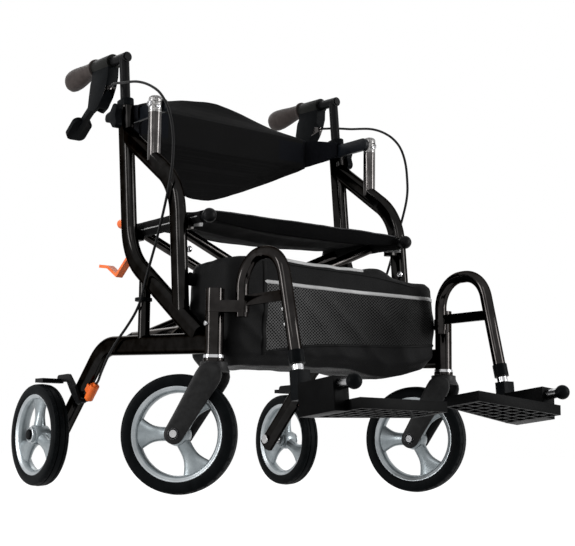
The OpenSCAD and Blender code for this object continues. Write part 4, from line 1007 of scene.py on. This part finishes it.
def make_belt():
    belt = pad("back_belt.pad", belt_skin, 110, 44, (0.46, 0.206), "belt_cloth", on_belt_seam, blunt=True)
    puffed(belt, 5)
    finer(belt)
    belt.data.materials.append(finishes["sleeve_cloth"])
    for face in belt.data.polygons:
        x, y, z = measures(face.center)
        low, top = belt_edges(x)
        face.material_index = int(abs(x) > crescent_x(2 * (z - low) / (top - low) - 1))
    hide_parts("back_belt")
    with_belt(belt)
    for side, sign in SIDES.items():
        points = [belt_skin(sign * crescent(v), v, 1) for v in spaced(-0.93, 0.93, 40)]
        with_belt(webbing(f"belt_end_seam_{side}", points, FRONT, 2.6, 2.2, "seat_cloth"))


def belt_sleeve(side, sign):
    """A tight cloth sleeve over the curved end of a backrest arm."""
    run = ARM_TURN_Y - SLEEVE_START + ARM_R * ARM_TURN

    def skin(u, v, face):
        s = (u + 1) / 2 * run
        a = max(0, (s - ARM_TURN_Y + SLEEVE_START) / ARM_R)
        x = ARM_X - ARM_R + ARM_R * math.cos(a)
        y = ARM_TURN_Y + ARM_R * math.sin(a) if a else SLEEVE_START + s
        low, top = along_table(SLEEVE_LOW, s), along_table(SLEEVE_TOP, s)
        point = at(sign * x, y, low + (top - low) * (v + 1) / 2)
        half = 3.5 + 3.8 * (1 - abs(v) ** 6) + crumple(point, 40, 0.6)
        return point + Vector((sign * math.cos(a), math.sin(a), 0)) * (-face * half) * MM

    made = pad(
        f"belt_sleeve_{side}", skin, 40, 14, (0.094, 0.05), "sleeve_cloth", lambda u, v: False, blunt=True)
    finer(made)
    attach(made, f"backrest_{side}")


make_belt()
both_sides(belt_sleeve)

# Storage bag: a soft shell under the seat with a net front
BAG_X, BAG_HALF_Y, BAG_MID_Y, BAG_FOOT, BAG_R = 235, 70, 66, 213, 26
FLAT_X, FLAT_Y = BAG_X - BAG_R, BAG_HALF_Y - BAG_R
QUARTER = BAG_R * math.pi / 2
BAG_RUNS = [FLAT_X, QUARTER, 2 * FLAT_Y, QUARTER, 2 * FLAT_X, QUARTER, 2 * FLAT_Y, QUARTER, FLAT_X]
BAG_WALLS = [(0, 1, 0, -1), (-1, 0, 1, -1), (0, -1, -1, 1), (1, 0, -1, 1), (0, 1, 1, 0)]
BAG_CORNERS = [(-1, 1, 90), (-1, -1, 180), (1, -1, 270), (1, 1, 0)]
BAG_GRID, BAG_FLAT = (190, 76), (1.15, 0.34)
FLOOR_END, WALL_END = 0.16, 0.80
FOOT_ROUND, FOOT_INSET, HEAD_ROUND, HEAD_INSET = 0.14, 16, 0.045, 5
BELLY, SLACK_TOP, FAR_FULLNESS = 3.5, 0.78, 0.04
SAG_LINE = [(-235, 3), (-110, 8), (0, 10), (48, 8), (116, 2), (176, 10), (215, 20), (235, 30)]
TOP_LINE = [
    (-235, 404), (-215, 409), (-115, 412), (-40, 411), (38, 410), (80, 412), (97, 415), (115, 411), (133, 403),
    (160, 397), (185, 396), (205, 399), (222, 397), (235, 386)
]
NET_X, STRIP_Z = (-165, 232), 369
NET_FOOT = [(-165, 245), (-60, 262), (40, 268), (140, 272), (232, 280)]
TAB_Y, TAB_Z = 109.5, 378


def bag_plan(s, grow):
    """Point and outward way round the bag's plan, with s from 0 to 1 starting at the middle of the back."""
    walk = s * sum(BAG_RUNS)
    leg = 0
    while walk > BAG_RUNS[leg] and leg < len(BAG_RUNS) - 1:
        walk -= BAG_RUNS[leg]
        leg += 1
    t = min(1.0, walk / BAG_RUNS[leg])
    if leg % 2:
        x, y, first = BAG_CORNERS[leg // 2]
        a = math.radians(first + 90 * t)
        out = Vector((math.cos(a), math.sin(a), 0))
    else:
        out_x, out_y, start, end = BAG_WALLS[leg // 2]
        run = start + (end - start) * t
        x, y = out_x or run, out_y or run
        out = Vector((out_x, out_y, 0))
    return Vector((x * FLAT_X, BAG_MID_Y + y * FLAT_Y, 0)) + out * (BAG_R + grow), out


def bag_edges(x):
    return BAG_FOOT + along_table(SAG_LINE, x), along_table(TOP_LINE, x)


def bag_point(s, t, lift=0.0):
    """Skin of the bag: s round its plan, t from the middle of the floor (0) up the wall to that of the lid (1)."""
    if t < FLOOR_END:
        share, rise = t / FLOOR_END, 0.0
    elif t < WALL_END:
        share, rise = 1.0, (t - FLOOR_END) / (WALL_END - FLOOR_END)
    else:
        share, rise = 1 - (t - WALL_END) / (1 - WALL_END), 1.0
    round_foot = smooth_step(rise / FOOT_ROUND)
    round_head = smooth_step((1 - rise) / HEAD_ROUND)
    inset = -FOOT_INSET * (1 - round_foot) - HEAD_INSET * (1 - round_head)
    belly = BELLY * math.sin(math.pi * rise) if share == 1 else 0
    plan, out = bag_plan(s, inset + belly + lift)
    centre = Vector((0, BAG_MID_Y, 0))
    point = centre + (plan - centre) * share
    foot, head = bag_edges(point.x)
    point.x *= 1 + FAR_FULLNESS * smooth_step(point.x / BAG_X)
    z = foot + (head - foot) * rise
    if t < FLOOR_END:
        z -= 5 * (1 - share ** 2) - 2
    if t >= WALL_END:
        z += 5 * (1 - share ** 3)
    spot = at(point.x, point.y, z)
    wrinkle = crumple(spot, 12, 3.4) + crumple(spot, 34, 1.8)
    if 0 < rise < SLACK_TOP:
        slack = smooth_step(rise / 0.12) * smooth_step((SLACK_TOP - rise) / 0.2)
        ridge = noise.noise(Vector((spot.x * 15 + spot.z * 17, spot.y * 9, spot.z * 3)))
        wrinkle += slack * (5.5 * (1 - abs(ridge)) ** 3 - 2.5)
    fold = out * wrinkle * (share if share > 0.6 else 0)
    return spot + (fold + UP * wrinkle * (1 - round_foot * round_head)) * MM


def bag_front(x, z, lift):
    """Point on the front of the bag at a width and height."""
    walk = sum(BAG_RUNS[:4]) + min(x, FLAT_X) + FLAT_X + max(0, x - FLAT_X) * 1.25
    foot, head = bag_edges(x)
    rise = min(1, (z - foot) / (head - foot))
    return bag_point(walk / sum(BAG_RUNS), FLOOR_END + rise * (WALL_END - FLOOR_END), lift)


def with_bag(made):
    """Carries a piece with the bag on the right frame, with a mesh of its own."""
    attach(made, "right_frame")
    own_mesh(made)


def bag_band(name, points, face, width, thick, finish="bag_cloth", segments=12):
    with_bag(webbing(name, points, face, width, thick, finish, segments=segments))


def bag_trim(name, knots, width, thick, lift, finish="bag_cloth"):
    """A band or piping sewn on the bag's front, through knots of (x, z)."""
    points = [bag_front(x, along_table(knots, x), lift) for x in spaced(knots[0][0], knots[-1][0], 80)]
    bag_band(name, points, FRONT, width, thick, finish)


def make_bag():
    bm = flat_grid(*BAG_GRID)
    lay_flat(bm, lambda vert: vert.co.xy, BAG_FLAT)
    for vert in bm.verts:
        vert.co = bag_point((vert.co.x + 1) / 2, (vert.co.y + 1) / 2)
    bmesh.ops.remove_doubles(bm, verts=bm.verts, dist=5e-5)
    bmesh.ops.recalc_face_normals(bm, faces=bm.faces)
    for face in bm.faces:
        x, y, z = measures(face.calc_center_median())
        front = face.normal.y < -0.5 and within(x, NET_X)
        face.material_index = int(front and along_table(NET_FOOT, x) < z < STRIP_Z)
    bag = piece("storage_bag.shell", bm, ["bag_cloth", "bag_net"], sharp=None)
    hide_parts("storage_bag")
    with_bag(bag)
    bag_trim("bag_strip", [(-168, STRIP_Z), (40, STRIP_Z - 2), (238, STRIP_Z)], 6.5, 1.6, 0.8, "strip_grey")
    bag_trim("bag_net_hem", [(-168, 245)] + NET_FOOT[1:], 5, 2.2, 0.4)
    bag_trim("bag_lid_edge", [(-121, 411), (-40, 410), (62, 409)], 7, 2.4, 0.4, "strip_grey")
    crease = [(-112, 404), (-13, 402), (77, 399), (140, 393), (178, 388)]
    bag_trim("bag_lid_crease", crease, 2.4, 2.4, 0.2)
    bag_band("bag_net_edge", [bag_front(NET_X[0] - 2, z, 0.4) for z in spaced(240, 405, 24)], FRONT, 9, 2.4)


def bag_tab(side, sign):
    """The short webbing tab that hangs the bag on its side's frame."""
    points = [at(sign * (BAG_X - 6 + 2 * i), TAB_Y, TAB_Z - 1.5 * math.sin(i / 11 * math.pi)) for i in range(12)]
    bag_band(f"bag_tab_{side}", points, -FRONT, 24, 18, segments=20)


make_bag()
both_sides(bag_tab)

# Floor, world and lamps
FLOOR_SIZE, FLOOR_Z, FLOOR_TONE, FLOOR_GLOW = 14, -0.0006, 0.42, 0.87
WORLD_LIGHT = 0.34
MIDDLE = Vector((0, 0, 0.45))
LAMPS = [
    ("key", (-2.6, -1.6, 2.4), (1.0, 1.4), 14), ("back", (0.6, 2.8, 2.2), (2.0, 1.2), 18),
    ("right_box", (1.6, -2.2, 0.9), (0.75, 1.8), 60), ("left_box", (-2.5, 0.7, 0.9), (0.6, 1.8), 48)
]


def stage_floor():
    finishes["floor_white"] = bpy.data.materials.new("floor_white")
    made = Nodes(finishes["floor_white"])
    plain = made.add("BsdfDiffuse", color=(FLOOR_TONE, FLOOR_TONE, FLOOR_TONE, 1))
    ray = made.add("LightPath")
    seen = made.math("MAXIMUM", (ray, "Is Camera Ray"), (ray, "Is Glossy Ray"))
    glow = made.add("Emission")
    made.join(*made.math("MULTIPLY", seen, FLOOR_GLOW), glow, "Strength")
    both = made.add("AddShader")
    made.join(plain, "BSDF", both, 0)
    made.join(glow, "Emission", both, 1)
    made.join(both, "Shader", made.add("OutputMaterial"), "Surface")
    bm = flat_grid(1, 1, FLOOR_SIZE)
    bmesh.ops.translate(bm, verts=bm.verts, vec=UP * FLOOR_Z)
    piece("floor", bm, "floor_white", sharp=None)


def light_world():
    """White to the eye and in every gloss, and a low, even light."""
    scene.world = bpy.data.worlds.new("studio")
    made = Nodes(scene.world)
    ray = made.add("LightPath")
    seen = made.math("MAXIMUM", (ray, "Is Camera Ray"), (ray, "Is Transmission Ray"))
    shine = made.math("MAXIMUM", seen, (ray, "Is Glossy Ray"))
    sky = made.add("Background", color=(1, 1, 1, 1))
    made.join(*made.spread(shine, WORLD_LIGHT, 1.0, 0, 1), sky, "Strength")
    made.join(sky, "Background", made.add("OutputWorld"), "Surface")


def lamp(name, place, size, watts):
    made = bpy.data.objects.new(name, bpy.data.lights.new(name, "AREA"))
    made.data.shape = "RECTANGLE"
    made.data.size, made.data.size_y = size
    made.data.energy = watts
    made.location = place
    made.rotation_euler = (MIDDLE - Vector(place)).to_track_quat("-Z", "Y").to_euler()
    scene.collection.objects.link(made)


scene.view_settings.view_transform = "Standard"
stage_floor()
light_world()
for row in LAMPS:
    lamp(*row)
